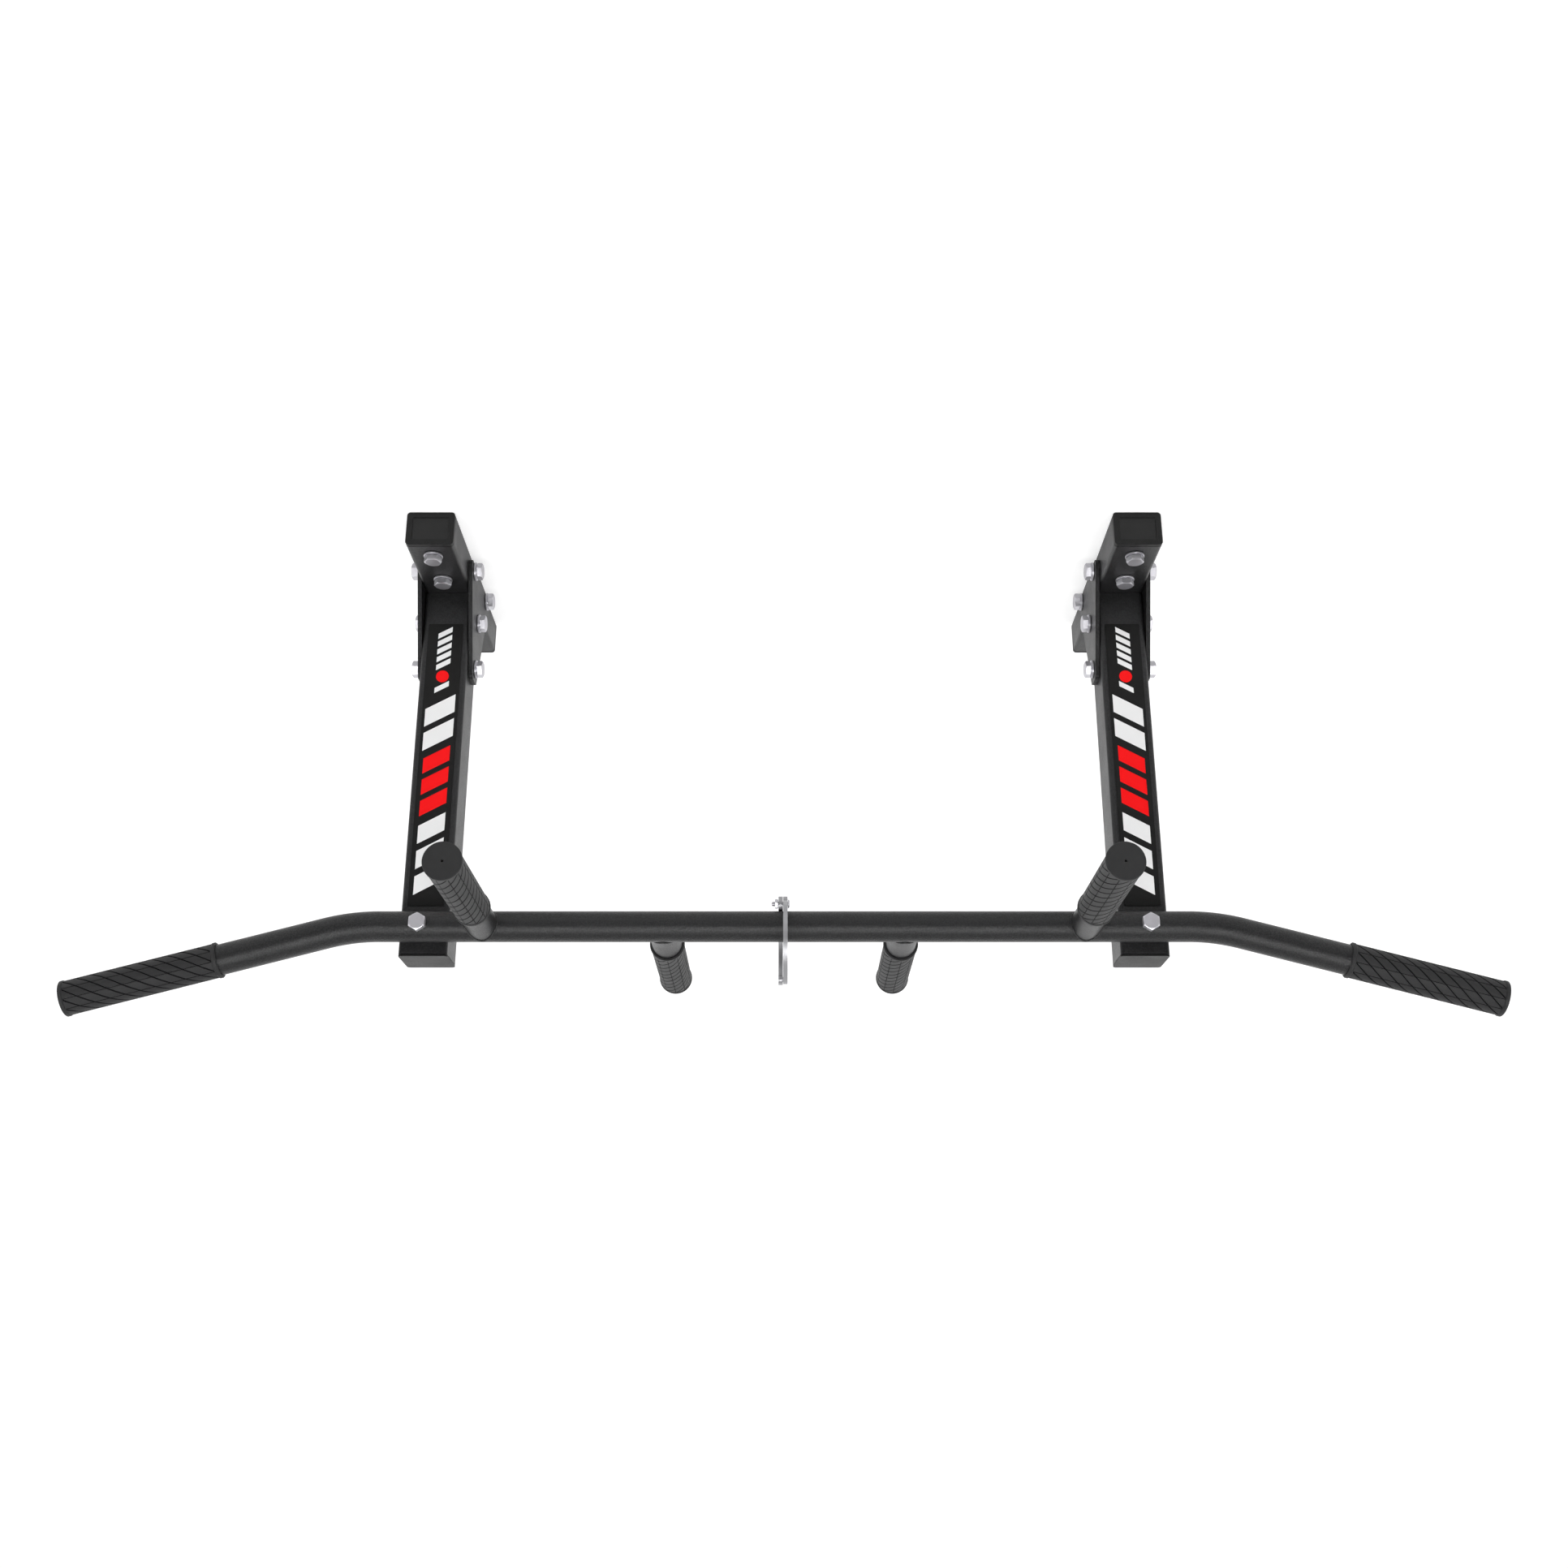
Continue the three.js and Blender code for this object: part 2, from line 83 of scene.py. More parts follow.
# %% Small helpers for node trees
def add_node(tree, kind, inputs=None, **settings):
    node = tree.nodes.new("ShaderNode" + kind)
    for name, value in settings.items():
        setattr(node, name, value)
    for name, value in (inputs or {}).items():
        node.inputs[name].default_value = value
    return node


def scaled_range(tree, source, low, high, to_low, to_high):
    node = add_node(tree, "MapRange", {1: low, 2: high, 3: to_low, 4: to_high}, clamp=True)
    tree.links.new(source, node.inputs[0])
    return node.outputs[0]


def combine_values(tree, operation, first, second):
    node = add_node(tree, "Math", operation=operation)
    for socket, value in zip(node.inputs, (first, second)):
        if isinstance(value, bpy.types.NodeSocket):
            tree.links.new(value, socket)
        else:
            socket.default_value = value
    return node.outputs[0]


# %% World
back_light = 1.5
front_light = 0.12
floor_light = 0.30
side_fade = 0.5
floor_full = -0.75
floor_none = -0.3
world = bpy.data.worlds.new("studio")
bpy.context.scene.world = world
world.use_nodes = True
sky = world.node_tree
sky.nodes.clear()
direction = add_node(sky, "TexCoord")
axes = add_node(sky, "SeparateXYZ")
sky.links.new(direction.outputs["Generated"], axes.inputs[0])
from_behind = scaled_range(sky, axes.outputs["Y"], -side_fade, side_fade, front_light, back_light)
from_below = scaled_range(sky, axes.outputs["Z"], floor_full, floor_none, floor_light, 0)
brightness = combine_values(sky, "MAXIMUM", from_behind, from_below)
lit = add_node(sky, "Background")
seen = add_node(sky, "Background", {"Color": (1, 1, 1, 1), "Strength": 1.05})
sky.links.new(brightness, lit.inputs["Strength"])
ray = add_node(sky, "LightPath")
choose = add_node(sky, "MixShader")
sky.links.new(ray.outputs["Is Camera Ray"], choose.inputs[0])
sky.links.new(lit.outputs[0], choose.inputs[1])
sky.links.new(seen.outputs[0], choose.inputs[2])
output = add_node(sky, "OutputWorld")
sky.links.new(choose.outputs[0], output.inputs["Surface"])
bpy.context.scene.view_settings.view_transform = "Standard"

# %% [markdown]
# A long soft lamp below and in front draws the highlight along the bar, and a small one on each
# side lights the posts.

# %% Lamps
def add_lamp(name, place, target, size, power):
    data = bpy.data.lights.new(name, "AREA")
    data.shape = "RECTANGLE"
    data.size, data.size_y = size
    data.energy = power
    lamp = bpy.data.objects.new(name, data)
    lamp.location = place
    lamp.rotation_euler = (Vector(target) - Vector(place)).to_track_quat("-Z", "Y").to_euler()
    bpy.context.collection.objects.link(lamp)


bar_middle = (0, -0.03, -0.3)
add_lamp("lamp_below", (0, -1.21, -1.28), bar_middle, (2.6, 0.3), 24)
for name, x in (("lamp_left", -2.0), ("lamp_right", 2.0)):
    add_lamp(name, (x, -0.6, -0.9), bar_middle, (0.8, 0.8), 5)

# %% [markdown]
# The ceiling and the floor are scenery. The ceiling is white plaster that shows only from below:
# its back is clear, so the brackets can also be looked at from above.

# %% Ceiling and floor
stage_half = 3.0
ceiling_gap = 0.1 * mm
floor_height = -2.2
glow_reach = 0.6


def stage_plane(name, height, faces_down):
    bm = bmesh.new()
    bmesh.ops.create_grid(bm, x_segments=1, y_segments=1, size=stage_half)
    if faces_down:
        bmesh.ops.reverse_faces(bm, faces=bm.faces)
    bmesh.ops.translate(bm, vec=(0, 0, height), verts=bm.verts)
    mesh = bpy.data.meshes.new(name)
    bm.to_mesh(mesh)
    bm.free()
    plane = bpy.data.objects.new(name, mesh)
    bpy.context.collection.objects.link(plane)
    plane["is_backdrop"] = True
    return plane


def plaster(name, shade, glow_seen, glow_front, glow_back, clear_back):
    """White plaster. What it throws on the object grows towards the back; the camera sees it white."""
    material = bpy.data.materials.new(name)
    material.use_nodes = True
    tree = material.node_tree
    shader = tree.nodes["Principled BSDF"]
    shader.inputs["Base Color"].default_value = (shade, shade, shade, 1)
    shader.inputs["Roughness"].default_value = 0.9
    shader.inputs["Emission Color"].default_value = (1, 1, 1, 1)
    ray = add_node(tree, "LightPath")
    place = add_node(tree, "TexCoord")
    axes = add_node(tree, "SeparateXYZ")
    tree.links.new(place.outputs["Object"], axes.inputs[0])
    thrown = scaled_range(tree, axes.outputs["Y"], -glow_reach, glow_reach, glow_front,
                          glow_back)
    glow = add_node(tree, "Mix", {"B": glow_seen}, data_type="FLOAT")
    tree.links.new(ray.outputs["Is Camera Ray"], glow.inputs["Factor"])
    tree.links.new(thrown, glow.inputs["A"])
    tree.links.new(glow.outputs[0], shader.inputs["Emission Strength"])
    if clear_back:
        side = add_node(tree, "NewGeometry")
        clear = add_node(tree, "BsdfTransparent")
        choose = add_node(tree, "MixShader")
        tree.links.new(side.outputs["Backfacing"], choose.inputs[0])
        tree.links.new(shader.outputs[0], choose.inputs[1])
        tree.links.new(clear.outputs[0], choose.inputs[2])
        tree.links.new(choose.outputs[0], tree.nodes["Material Output"].inputs["Surface"])
    return material


ceiling = stage_plane("ceiling", ceiling_gap, True)
ceiling.data.materials.append(plaster("ceiling_plaster", shade=0.6, glow_seen=0.57, glow_front=0.06,
                                      glow_back=0.50, clear_back=True))
floor = stage_plane("floor", floor_height, False)
floor.data.materials.append(plaster("pale_floor", shade=0.5, glow_seen=0.75, glow_front=0.0,
                                    glow_back=0.4, clear_back=False))

# %% [markdown]
# Effects that several finishes share are node groups. The first is a fine grain: two sizes of
# noise give a height for the bump, a painted glint mask on the tops of the grains, and a slow
# mottle for colour and gloss.

# %% Node group: grain
def new_group(name, inputs, outputs):
    group = bpy.data.node_groups.new(name, "ShaderNodeTree")
    for socket, value in inputs.items():
        made = group.interface.new_socket(socket, in_out="INPUT", socket_type="NodeSocketFloat")
        made.default_value = value
    for socket in outputs:
        group.interface.new_socket(socket, in_out="OUTPUT", socket_type="NodeSocketFloat")
    start = group.nodes.new("NodeGroupInput")
    end = group.nodes.new("NodeGroupOutput")
    return group, start, end


grain, grain_in, grain_out = new_group("grain", {"Grains per metre": 900}, ["Height", "Mottle", "Painted glint"])
grain_place = add_node(grain, "TexCoord")
fine_noise = add_node(grain, "TexNoise", {"Detail": 4.0, "Roughness": 0.65})
slow_noise = add_node(grain, "TexNoise", {"Scale": 45.0, "Detail": 3.0})
for noise in (fine_noise, slow_noise):
    grain.links.new(grain_place.outputs["Object"], noise.inputs["Vector"])
grain.links.new(grain_in.outputs["Grains per metre"], fine_noise.inputs["Scale"])
grain.links.new(fine_noise.outputs["Fac"], grain_out.inputs["Height"])
grain.links.new(slow_noise.outputs["Fac"], grain_out.inputs["Mottle"])
# Painted glint: a mask on the tops of the grains, where the coat's colour is lightened.
painted_glint_mask = scaled_range(grain, fine_noise.outputs["Fac"], 0.42, 0.62, 0, 1)
grain.links.new(painted_glint_mask, grain_out.inputs["Painted glint"])

# %% [markdown]
# The second group finds convex edges, where a coat is thinner and metal is rubbed brighter.

# %% Node group: edges
edge_wear, wear_in, wear_out = new_group("edge_wear", {"Amount": 0.5}, ["Mask"])
surface = add_node(edge_wear, "NewGeometry")
convex = scaled_range(edge_wear, surface.outputs["Pointiness"], 0.52, 0.62, 0, 1)
wear_place = add_node(edge_wear, "TexCoord")
patches = add_node(edge_wear, "TexNoise", {"Scale": 160.0, "Detail": 4.0})
edge_wear.links.new(wear_place.outputs["Object"], patches.inputs["Vector"])
broken = combine_values(edge_wear, "MULTIPLY", convex, patches.outputs["Fac"])
amount = combine_values(edge_wear, "MULTIPLY", broken, wear_in.outputs["Amount"])
edge_wear.links.new(amount, wear_out.inputs["Mask"])

# %% [markdown]
# One function makes every plain finish: two colours mixed by the mottle, a third on the edges, a
# roughness that wanders a little, and the grain as a bump. Each finish has its own numbers.

# %% A finish
def use_group(tree, group, inputs):
    node = tree.nodes.new("ShaderNodeGroup")
    node.node_tree = group
    node.name = group.name
    for name, value in inputs.items():
        node.inputs[name].default_value = value
    return node


def mix_colours(tree, factor, first, second):
    node = add_node(tree, "Mix", data_type="RGBA")
    tree.links.new(factor, node.inputs[0])
    for socket, value in ((node.inputs[6], first), (node.inputs[7], second)):
        if isinstance(value, bpy.types.NodeSocket):
            tree.links.new(value, socket)
        else:
            socket.default_value = (*value, 1)
    return node.outputs[2]


def finish(name, dark, light, edge, roughness, metallic=0.0, ior=1.36, grains=900, bump=0.03,
           wear=0.5):
    material = bpy.data.materials.new(name)
    material.use_nodes = True
    tree = material.node_tree
    shader = tree.nodes["Principled BSDF"]
    shader.inputs["Metallic"].default_value = metallic
    shader.inputs["IOR"].default_value = ior
    grains_node = use_group(tree, grain, {"Grains per metre": grains})
    edges_node = use_group(tree, edge_wear, {"Amount": wear})
    mottle = scaled_range(tree, grains_node.outputs["Mottle"], 0.35, 0.65, 0, 1)
    colour = mix_colours(tree, mottle, dark, light)
    colour = mix_colours(tree, edges_node.outputs["Mask"], colour, edge)
    tree.links.new(colour, shader.inputs["Base Color"])
    gloss = scaled_range(tree, grains_node.outputs["Mottle"], 0.3, 0.7, *roughness)
    tree.links.new(gloss, shader.inputs["Roughness"])
    relief = add_node(tree, "Bump", {"Strength": 1.0, "Distance": bump * mm})
    tree.links.new(grains_node.outputs["Height"], relief.inputs["Height"])
    tree.links.new(relief.outputs["Normal"], shader.inputs["Normal"])
    return material


powder_coat = finish("powder_coat", (0.0035, 0.0035, 0.0037), (0.0045, 0.0045, 0.0048),
                     (0.03, 0.03, 0.032), (0.33, 0.40), ior=1.44, grains=820, bump=0.35, wear=0.6)
coat_tree = powder_coat.node_tree
coat_shader = coat_tree.nodes["Principled BSDF"]
coat_grain = coat_tree.nodes["grain"]
plain_coat = coat_shader.inputs["Base Color"].links[0].from_socket
# Painted glints: the coat's colour is lightened on the tops of the grains.
coat_with_painted_glints = mix_colours(coat_tree, coat_grain.outputs["Painted glint"], plain_coat, (0.020, 0.020, 0.021))
coat_tree.links.new(coat_with_painted_glints, coat_shader.inputs["Base Color"])
moulded_plastic = finish("moulded_plastic", (0.006, 0.006, 0.006), (0.009, 0.009, 0.009),
                         (0.03, 0.03, 0.03), (0.42, 0.52), grains=900, bump=0.2, wear=0.4)
smooth_plastic = finish("smooth_plastic", (0.013, 0.013, 0.013), (0.016, 0.016, 0.016),
                        (0.03, 0.03, 0.03), (0.40, 0.46), grains=1600, bump=0.008, wear=0.2)
zinc_plate = finish("zinc_plate", (0.50, 0.49, 0.52), (0.60, 0.59, 0.63), (0.75, 0.75, 0.78),
                    (0.30, 0.42), metallic=0.85, ior=1.5, grains=1200, bump=0.006, wear=0.9)
galvanised = finish("galvanised", (0.33, 0.33, 0.345), (0.42, 0.42, 0.435), (0.6, 0.6, 0.61),
                    (0.38, 0.50), metallic=0.85, ior=1.5, grains=700, bump=0.008, wear=1.0)

# %% [markdown]
# The rubber is duller and greyer. Its grooves are real, and their shade is also painted: each grip
# carries an attribute that is 1 at the bottom of a groove. It paints shade there by darkening the
# colour and taking away nearly all of the shine.

# %% Rubber
grip_rubber = finish("grip_rubber", (0.013, 0.013, 0.0136), (0.017, 0.017, 0.0177),
                     (0.04, 0.04, 0.04), (0.60, 0.72), ior=1.42, grains=2200, bump=0.02, wear=0.3)
rubber_tree = grip_rubber.node_tree
rubber_shader = rubber_tree.nodes["Principled BSDF"]
rubber_shader.inputs["Sheen Weight"].default_value = 0.07
rubber_shader.inputs["Sheen Roughness"].default_value = 0.5
# Painted shade: this attribute darkens the colour and dims the shine at the bottom of each groove.
painted_groove_shade = add_node(rubber_tree, "Attribute", attribute_name="painted_groove_shade")
plain_rubber = rubber_shader.inputs["Base Color"].links[0].from_socket
rubber_with_painted_groove_shade = mix_colours(rubber_tree, painted_groove_shade.outputs["Fac"], plain_rubber, (0.008, 0.008, 0.009))
rubber_tree.links.new(rubber_with_painted_groove_shade, rubber_shader.inputs["Base Color"])
painted_shade_shine = scaled_range(rubber_tree, painted_groove_shade.outputs["Fac"], 0, 1, 0.5, 0.02)
rubber_tree.links.new(painted_shade_shine, rubber_shader.inputs["Specular IOR Level"])

# %% [markdown]
# Every piece starts as a bmesh and ends as an object that sits at the origin, rides on a body
# and replaces its CAD node. Edges sharper than 30 degrees stay crisp in shading, and
# a Weighted Normal modifier keeps large flat faces flat beside their small bevels.

# %% From bmesh to piece
sharp_angle = math.radians(30)


def make_piece(bm, name, material, body, slot, *nodes):
    mesh = bpy.data.meshes.new(name)
    bm.to_mesh(mesh)
    bm.free()
    mesh.materials.append(material)
    mesh.shade_smooth()
    mesh.set_sharp_from_angle(angle=sharp_angle)
    piece = bpy.data.objects.new(name, mesh)
    bpy.context.collection.objects.link(piece)
    shading = piece.modifiers.new("even_shading", "WEIGHTED_NORMAL")
    shading.keep_sharp = True
    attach(piece, body)
    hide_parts(*nodes)
    return piece


# %% Shapes that most pieces start from
def block(low, high):
    low, high = Vector(low), Vector(high)
    bm = bmesh.new()
    bmesh.ops.create_cube(bm, size=1)
    bmesh.ops.scale(bm, vec=high - low, verts=bm.verts)
    bmesh.ops.translate(bm, vec=(low + high) / 2, verts=bm.verts)
    return bm


def round_edges(bm, edges, width, segments):
    bmesh.ops.bevel(bm, geom=edges, offset=width, offset_type="OFFSET", affect="EDGES",
                    segments=segments, profile=0.5, material=-1, clamp_overlap=True)


def edges_along(bm, axis):
    return [edge for edge in bm.edges
            if abs((edge.verts[0].co - edge.verts[1].co).normalized()[axis]) > 0.999]


def sharp_edges(bm, angle):
    return [edge for edge in bm.edges if edge.is_manifold and edge.calc_face_angle(0) > angle]


def lathe(outline, facets=48):
    """A solid turned about Z from an outline of (radius, height) points in millimetres."""
    bm = bmesh.new()
    points = [bm.verts.new((radius * mm, 0, height * mm)) for radius, height in outline]
    lines = [bm.edges.new(pair) for pair in zip(points, points[1:])]
    bmesh.ops.spin(bm, geom=points + lines, cent=(0, 0, 0), axis=(0, 0, 1),
                   angle=2 * math.pi, steps=facets, use_merge=True)
    bmesh.ops.remove_doubles(bm, verts=bm.verts, dist=0.001 * mm)
    bmesh.ops.recalc_face_normals(bm, faces=bm.faces)
    return bm


def rod(radius, start, end, facets=32):
    """A plain round rod between two points on one axis, in metres."""
    start, end = Vector(start), Vector(end)
    bm = bmesh.new()
    bmesh.ops.create_cone(bm, cap_ends=True, segments=facets, radius1=radius, radius2=radius,
                          depth=(end - start).length)
    aim(bm, (start + end) / 2, end - start)
    return bm


def aim(bm, place, direction, twist=0.0):
    """Turns a shape's +Z to the direction and moves its origin to the place."""
    turn = Vector((0, 0, 1)).rotation_difference(Vector(direction)).to_matrix().to_4x4()
    bm.transform(Matrix.Translation(place) @ turn @ Matrix.Rotation(twist, 4, "Z"))


def gather(*parts):
    """Puts several separate shapes into one bmesh."""
    whole = bmesh.new()
    for part in parts:
        mesh = bpy.data.meshes.new("part")
        part.to_mesh(mesh)
        part.free()
        whole.from_mesh(mesh)
        bpy.data.meshes.remove(mesh)
    return whole


# %% [markdown]
# Holes and unions need two solids to meet exactly. A Boolean modifier does that well, so one
# helper puts both shapes on short-lived objects and takes back the evaluated mesh. The result can
# differ a little from run to run: the bar's triangle count varies by under one percent.

# %% Join, cut or intersect two solids
def combine_solids(body, tool, operation):
    made = []
    for bm in (body, tool):
        mesh = bpy.data.meshes.new("work")
        bm.to_mesh(mesh)
        bm.free()
        made.append(bpy.data.objects.new("work", mesh))
        bpy.context.collection.objects.link(made[-1])
    modifier = made[0].modifiers.new("combine", "BOOLEAN")
    modifier.operation = operation
    modifier.solver = "EXACT"
    modifier.object = made[1]
    bpy.context.view_layer.update()
    evaluated = made[0].evaluated_get(bpy.context.evaluated_depsgraph_get())
    result = bmesh.new()
    result.from_mesh(evaluated.to_mesh())
    evaluated.to_mesh_clear()
    for work in made:
        mesh = work.data
        bpy.data.objects.remove(work)
        bpy.data.meshes.remove(mesh)
    bmesh.ops.remove_doubles(result, verts=result.verts, dist=0.002 * mm)
    bmesh.ops.dissolve_limit(result, angle_limit=math.radians(0.5), verts=result.verts,
                             edges=result.edges)
    return result


# %% [markdown]
# The sizes of the sections and fasteners are named once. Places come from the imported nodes.

# %% Sizes
hole_radius = 4.3 * mm
corner_radius = 3 * mm
tube_wall = 2 * mm
bar_radius = 12.5 * mm
bar_wall = 2 * mm
corner_steps = 6
plate_round = 0.45 * mm
# Where each drill starts and ends along its own axis, outside the tube on both sides.
side_drill = 40 * mm
rail_drill = (-60 * mm, 30 * mm)
post_drill = (-60 * mm, 60 * mm)
bar_drill = (-80 * mm, 30 * mm)
sides = {"left": -1, "right": 1}


def low(node):
    return Vector(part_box(node)[0])


def high(node):
    return Vector(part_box(node)[1])


def middle(node):
    return (low(node) + high(node)) / 2


def end_towards(node, direction):
    """The middle of the node's box face that the direction points to."""
    place = middle(node)
    axis = max(range(3), key=lambda i: abs(direction[i]))
    place[axis] = (high(node) if direction[axis] > 0 else low(node))[axis]
    return place


post_x = {name: middle(f"{name}_post").x for name in sides}
print("posts at x =", post_x)

# %% [markdown]
# Rails and posts are cold-formed box tube, 40 mm wide with rounded corners. A block gets its four
# long edges bevelled, both ends are inset by the wall, and the two openings are bridged inside.
# The bolt holes are drilled with rods.

# %% Box tube
def box_tube(node, axis):
    bm = block(low(node), high(node))
    round_edges(bm, edges_along(bm, axis), corner_radius, corner_steps)
    ends = [face for face in bm.faces if abs(face.normal[axis]) > 0.999]
    bmesh.ops.inset_region(bm, faces=ends, thickness=tube_wall, use_even_offset=True)
    rims = list({edge for face in ends for edge in face.edges})
    bmesh.ops.delete(bm, geom=ends, context="FACES_ONLY")
    bmesh.ops.bridge_loops(bm, edges=rims)
    bmesh.ops.recalc_face_normals(bm, faces=bm.faces)
    return bm


def drill(bm, holes):
    return combine_solids(bm, gather(*[rod(hole_radius, *hole) for hole in holes]), "DIFFERENCE")


# %% Rails and posts
def across(node, x):
    """The line through a bolt's middle, along X."""
    place = middle(node)
    return (x - side_drill, place.y, place.z), (x + side_drill, place.y, place.z)


for name, x in post_x.items():
    rail_holes = [across(f"{name}_rail_{end}_bolt", x) for end in ("front", "rear")]
    for index in range(1, 5):
        y = middle(f"{name}_ceiling_screw_{index}").y
        rail_holes.append([(x, y, z) for z in rail_drill])
    rail = drill(box_tube(f"{name}_rail", 1), rail_holes)
    make_piece(rail, f"{name}_rail_tube", powder_coat, "frame", "black_coat", f"{name}_rail")
    post_holes = [across(f"{name}_post_{end}_bolt", x) for end in ("upper", "lower")]
    bar_bolt_z = middle(f"{name}_bar_bolt").z
    post_holes.append([(x, y, bar_bolt_z) for y in post_drill])
    post = drill(box_tube(f"{name}_post", 2), post_holes)
    print(name, "post faces", len(post.faces))
    make_piece(post, f"{name}_post_tube", powder_coat, "frame", "black_coat", f"{name}_post")

# %% [markdown]
# Each rail end is closed by a moulded cap with a sunken panel, and each post by a flat plug. The
# lip is a thin block with rounded corners, the panel is cut out of it, and a narrower block makes
# the stub that holds it in the tube.

# %% Caps and plugs
panel_depth = 0.7 * mm
panel_border = 5 * mm
cap_lip = 4 * mm
plug_lip = 1.5 * mm
lip_round = 0.35 * mm
stub_length = 9 * mm
stub_overlap = 0.5 * mm
small_corner = 1 * mm


def box_ends(low_corner, high_corner, axis, outward, start, end, border=0.0):
    """The slice of a box between two depths from its outer face, narrowed by a border."""
    low_corner, high_corner = Vector(low_corner), Vector(high_corner)
    face = (high_corner if outward > 0 else low_corner)[axis]
    for other in range(3):
        if other != axis:
            low_corner[other] += border
            high_corner[other] -= border
    low_corner[axis] = min(face - outward * start, face - outward * end)
    high_corner[axis] = max(face - outward * start, face - outward * end)
    return low_corner, high_corner


def rounded_block(corners, axis, corner):
    bm = block(*corners)
    round_edges(bm, edges_along(bm, axis), corner, corner_steps)
    return bm


def cap(box, axis, outward, lip, panel):
    bm = rounded_block(box_ends(*box, axis, outward, 0, lip), axis, corner_radius)
    if panel:
        recess = box_ends(*box, axis, outward, -mm, panel_depth, panel_border)
        bm = combine_solids(bm, rounded_block(recess, axis, small_corner), "DIFFERENCE")
    round_edges(bm, sharp_edges(bm, math.radians(60)), lip_round, 2)
    stub = box_ends(*box, axis, outward, lip - stub_overlap, lip + stub_length, tube_wall + touch_gap)
    return combine_solids(bm, rounded_block(stub, axis, small_corner), "UNION")


for name in sides:
    for end, outward in (("front", -1), ("rear", 1)):
        node = f"{name}_rail_{end}_cap"
        shape = cap(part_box(node), 1, outward, cap_lip, True)
        cover = make_piece(shape, f"{name}_rail_{end}_cover", moulded_plastic, "frame",
                           "black_plastic", node)
        cover.data.materials.append(smooth_plastic)
        outer_face = end_towards(node, (0, outward, 0)).y
        for face in cover.data.polygons:
            depth = (outer_face - face.center.y) * outward
            if abs(depth - panel_depth) < 0.05 * mm and face.normal.y * outward > 0.99:
                face.material_index = 1
    node = f"{name}_post_plug"
    plug = cap(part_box(node), 2, -1, plug_lip, False)
    make_piece(plug, f"{name}_post_foot", moulded_plastic, "frame", "black_plastic", node)

# %% [markdown]
# The gussets are laser-cut plates, one on each side of a bracket. Four corner points make a face,
# the corners are bevelled to arcs, the face is extruded to its thickness, the holes are drilled,
# and the edges get the small round that a thick coat leaves.

# %% Gussets
gusset_top_half = 45 * mm
gusset_bottom_half = 9 * mm
gusset_corner = 4 * mm
gusset_bolts = ("rail_front", "rail_rear", "post_upper", "post_lower")


def gusset(node):
    a, b = low(node), high(node)
    outline = [(-gusset_top_half, b.z), (gusset_top_half, b.z),
               (gusset_bottom_half, a.z), (-gusset_bottom_half, a.z)]
    bm = bmesh.new()
    corners = [bm.verts.new((a.x, y, z)) for y, z in outline]
    bm.faces.new(corners)
    lean = math.atan((gusset_top_half - gusset_bottom_half) / (b.z - a.z))
    for pair, angle in ((corners[:2], math.pi / 2 - lean), (corners[2:], math.pi / 2 + lean)):
        bmesh.ops.bevel(bm, geom=pair, offset=gusset_corner / math.tan(angle / 2),
                        offset_type="OFFSET", affect="VERTICES", segments=8, profile=0.5,
                        material=-1)
    plate = bmesh.ops.extrude_face_region(bm, geom=list(bm.faces))["geom"]
    moved = [vert for vert in plate if isinstance(vert, bmesh.types.BMVert)]
    bmesh.ops.translate(bm, vec=(b.x - a.x, 0, 0), verts=moved)
    bmesh.ops.recalc_face_normals(bm, faces=bm.faces)
    return bm


for name, x in post_x.items():
    bolts = [f"{name}_{place}_bolt" for place in gusset_bolts]
    for which in ("inner", "outer"):
        node = f"{name}_{which}_gusset"
        plate = drill(gusset(node), [across(bolt, x) for bolt in bolts])
        round_edges(plate, sharp_edges(plate, math.radians(50)), plate_round, 2)
        make_piece(plate, f"{name}_{which}_plate", powder_coat, "frame", "black_coat", node)
print("gusset height", round((high("left_inner_gusset") - low("left_inner_gusset")).z / mm, 1), "mm")

# %% [markdown]
# A hexagon head is a six-sided prism whose corners are turned away by a 30 degree cone. The prism
# and the turned shape are intersected, which gives the curved edges that catch the light. Bolts
# that clamp a gusset have a washer under the head and a thin collar between.

# %% Bolt heads and nuts
flat_share = 0.94
cone_spare = 1.05
cone_slope = math.tan(math.radians(30))


def hexagon(flats, low_end, high_end, chamfer_low=False):
    corner = flats / 2 / math.cos(math.pi / 6)
    rim = corner * cone_spare
    face = flats / 2 * flat_share
    fall = (rim - face) * cone_slope
    prism = rod(corner * mm, (0, 0, low_end * mm), (0, 0, high_end * mm), 6)
    bottom = [(0, low_end - 1), (rim, low_end - 1)]
    if chamfer_low:
        bottom = [(0, low_end), (face, low_end), (rim, low_end + fall)]
    cone = lathe(bottom + [(rim, high_end - fall), (face, high_end), (0, high_end)], 72)
    return combine_solids(prism, cone, "INTERSECT")


def washer(radius, thickness, hole):
    bevel = 0.25
    return lathe([(hole, 0), (radius - bevel, 0), (radius, bevel), (radius, thickness - bevel),
                  (radius - bevel, thickness), (hole, thickness), (hole, 0)])


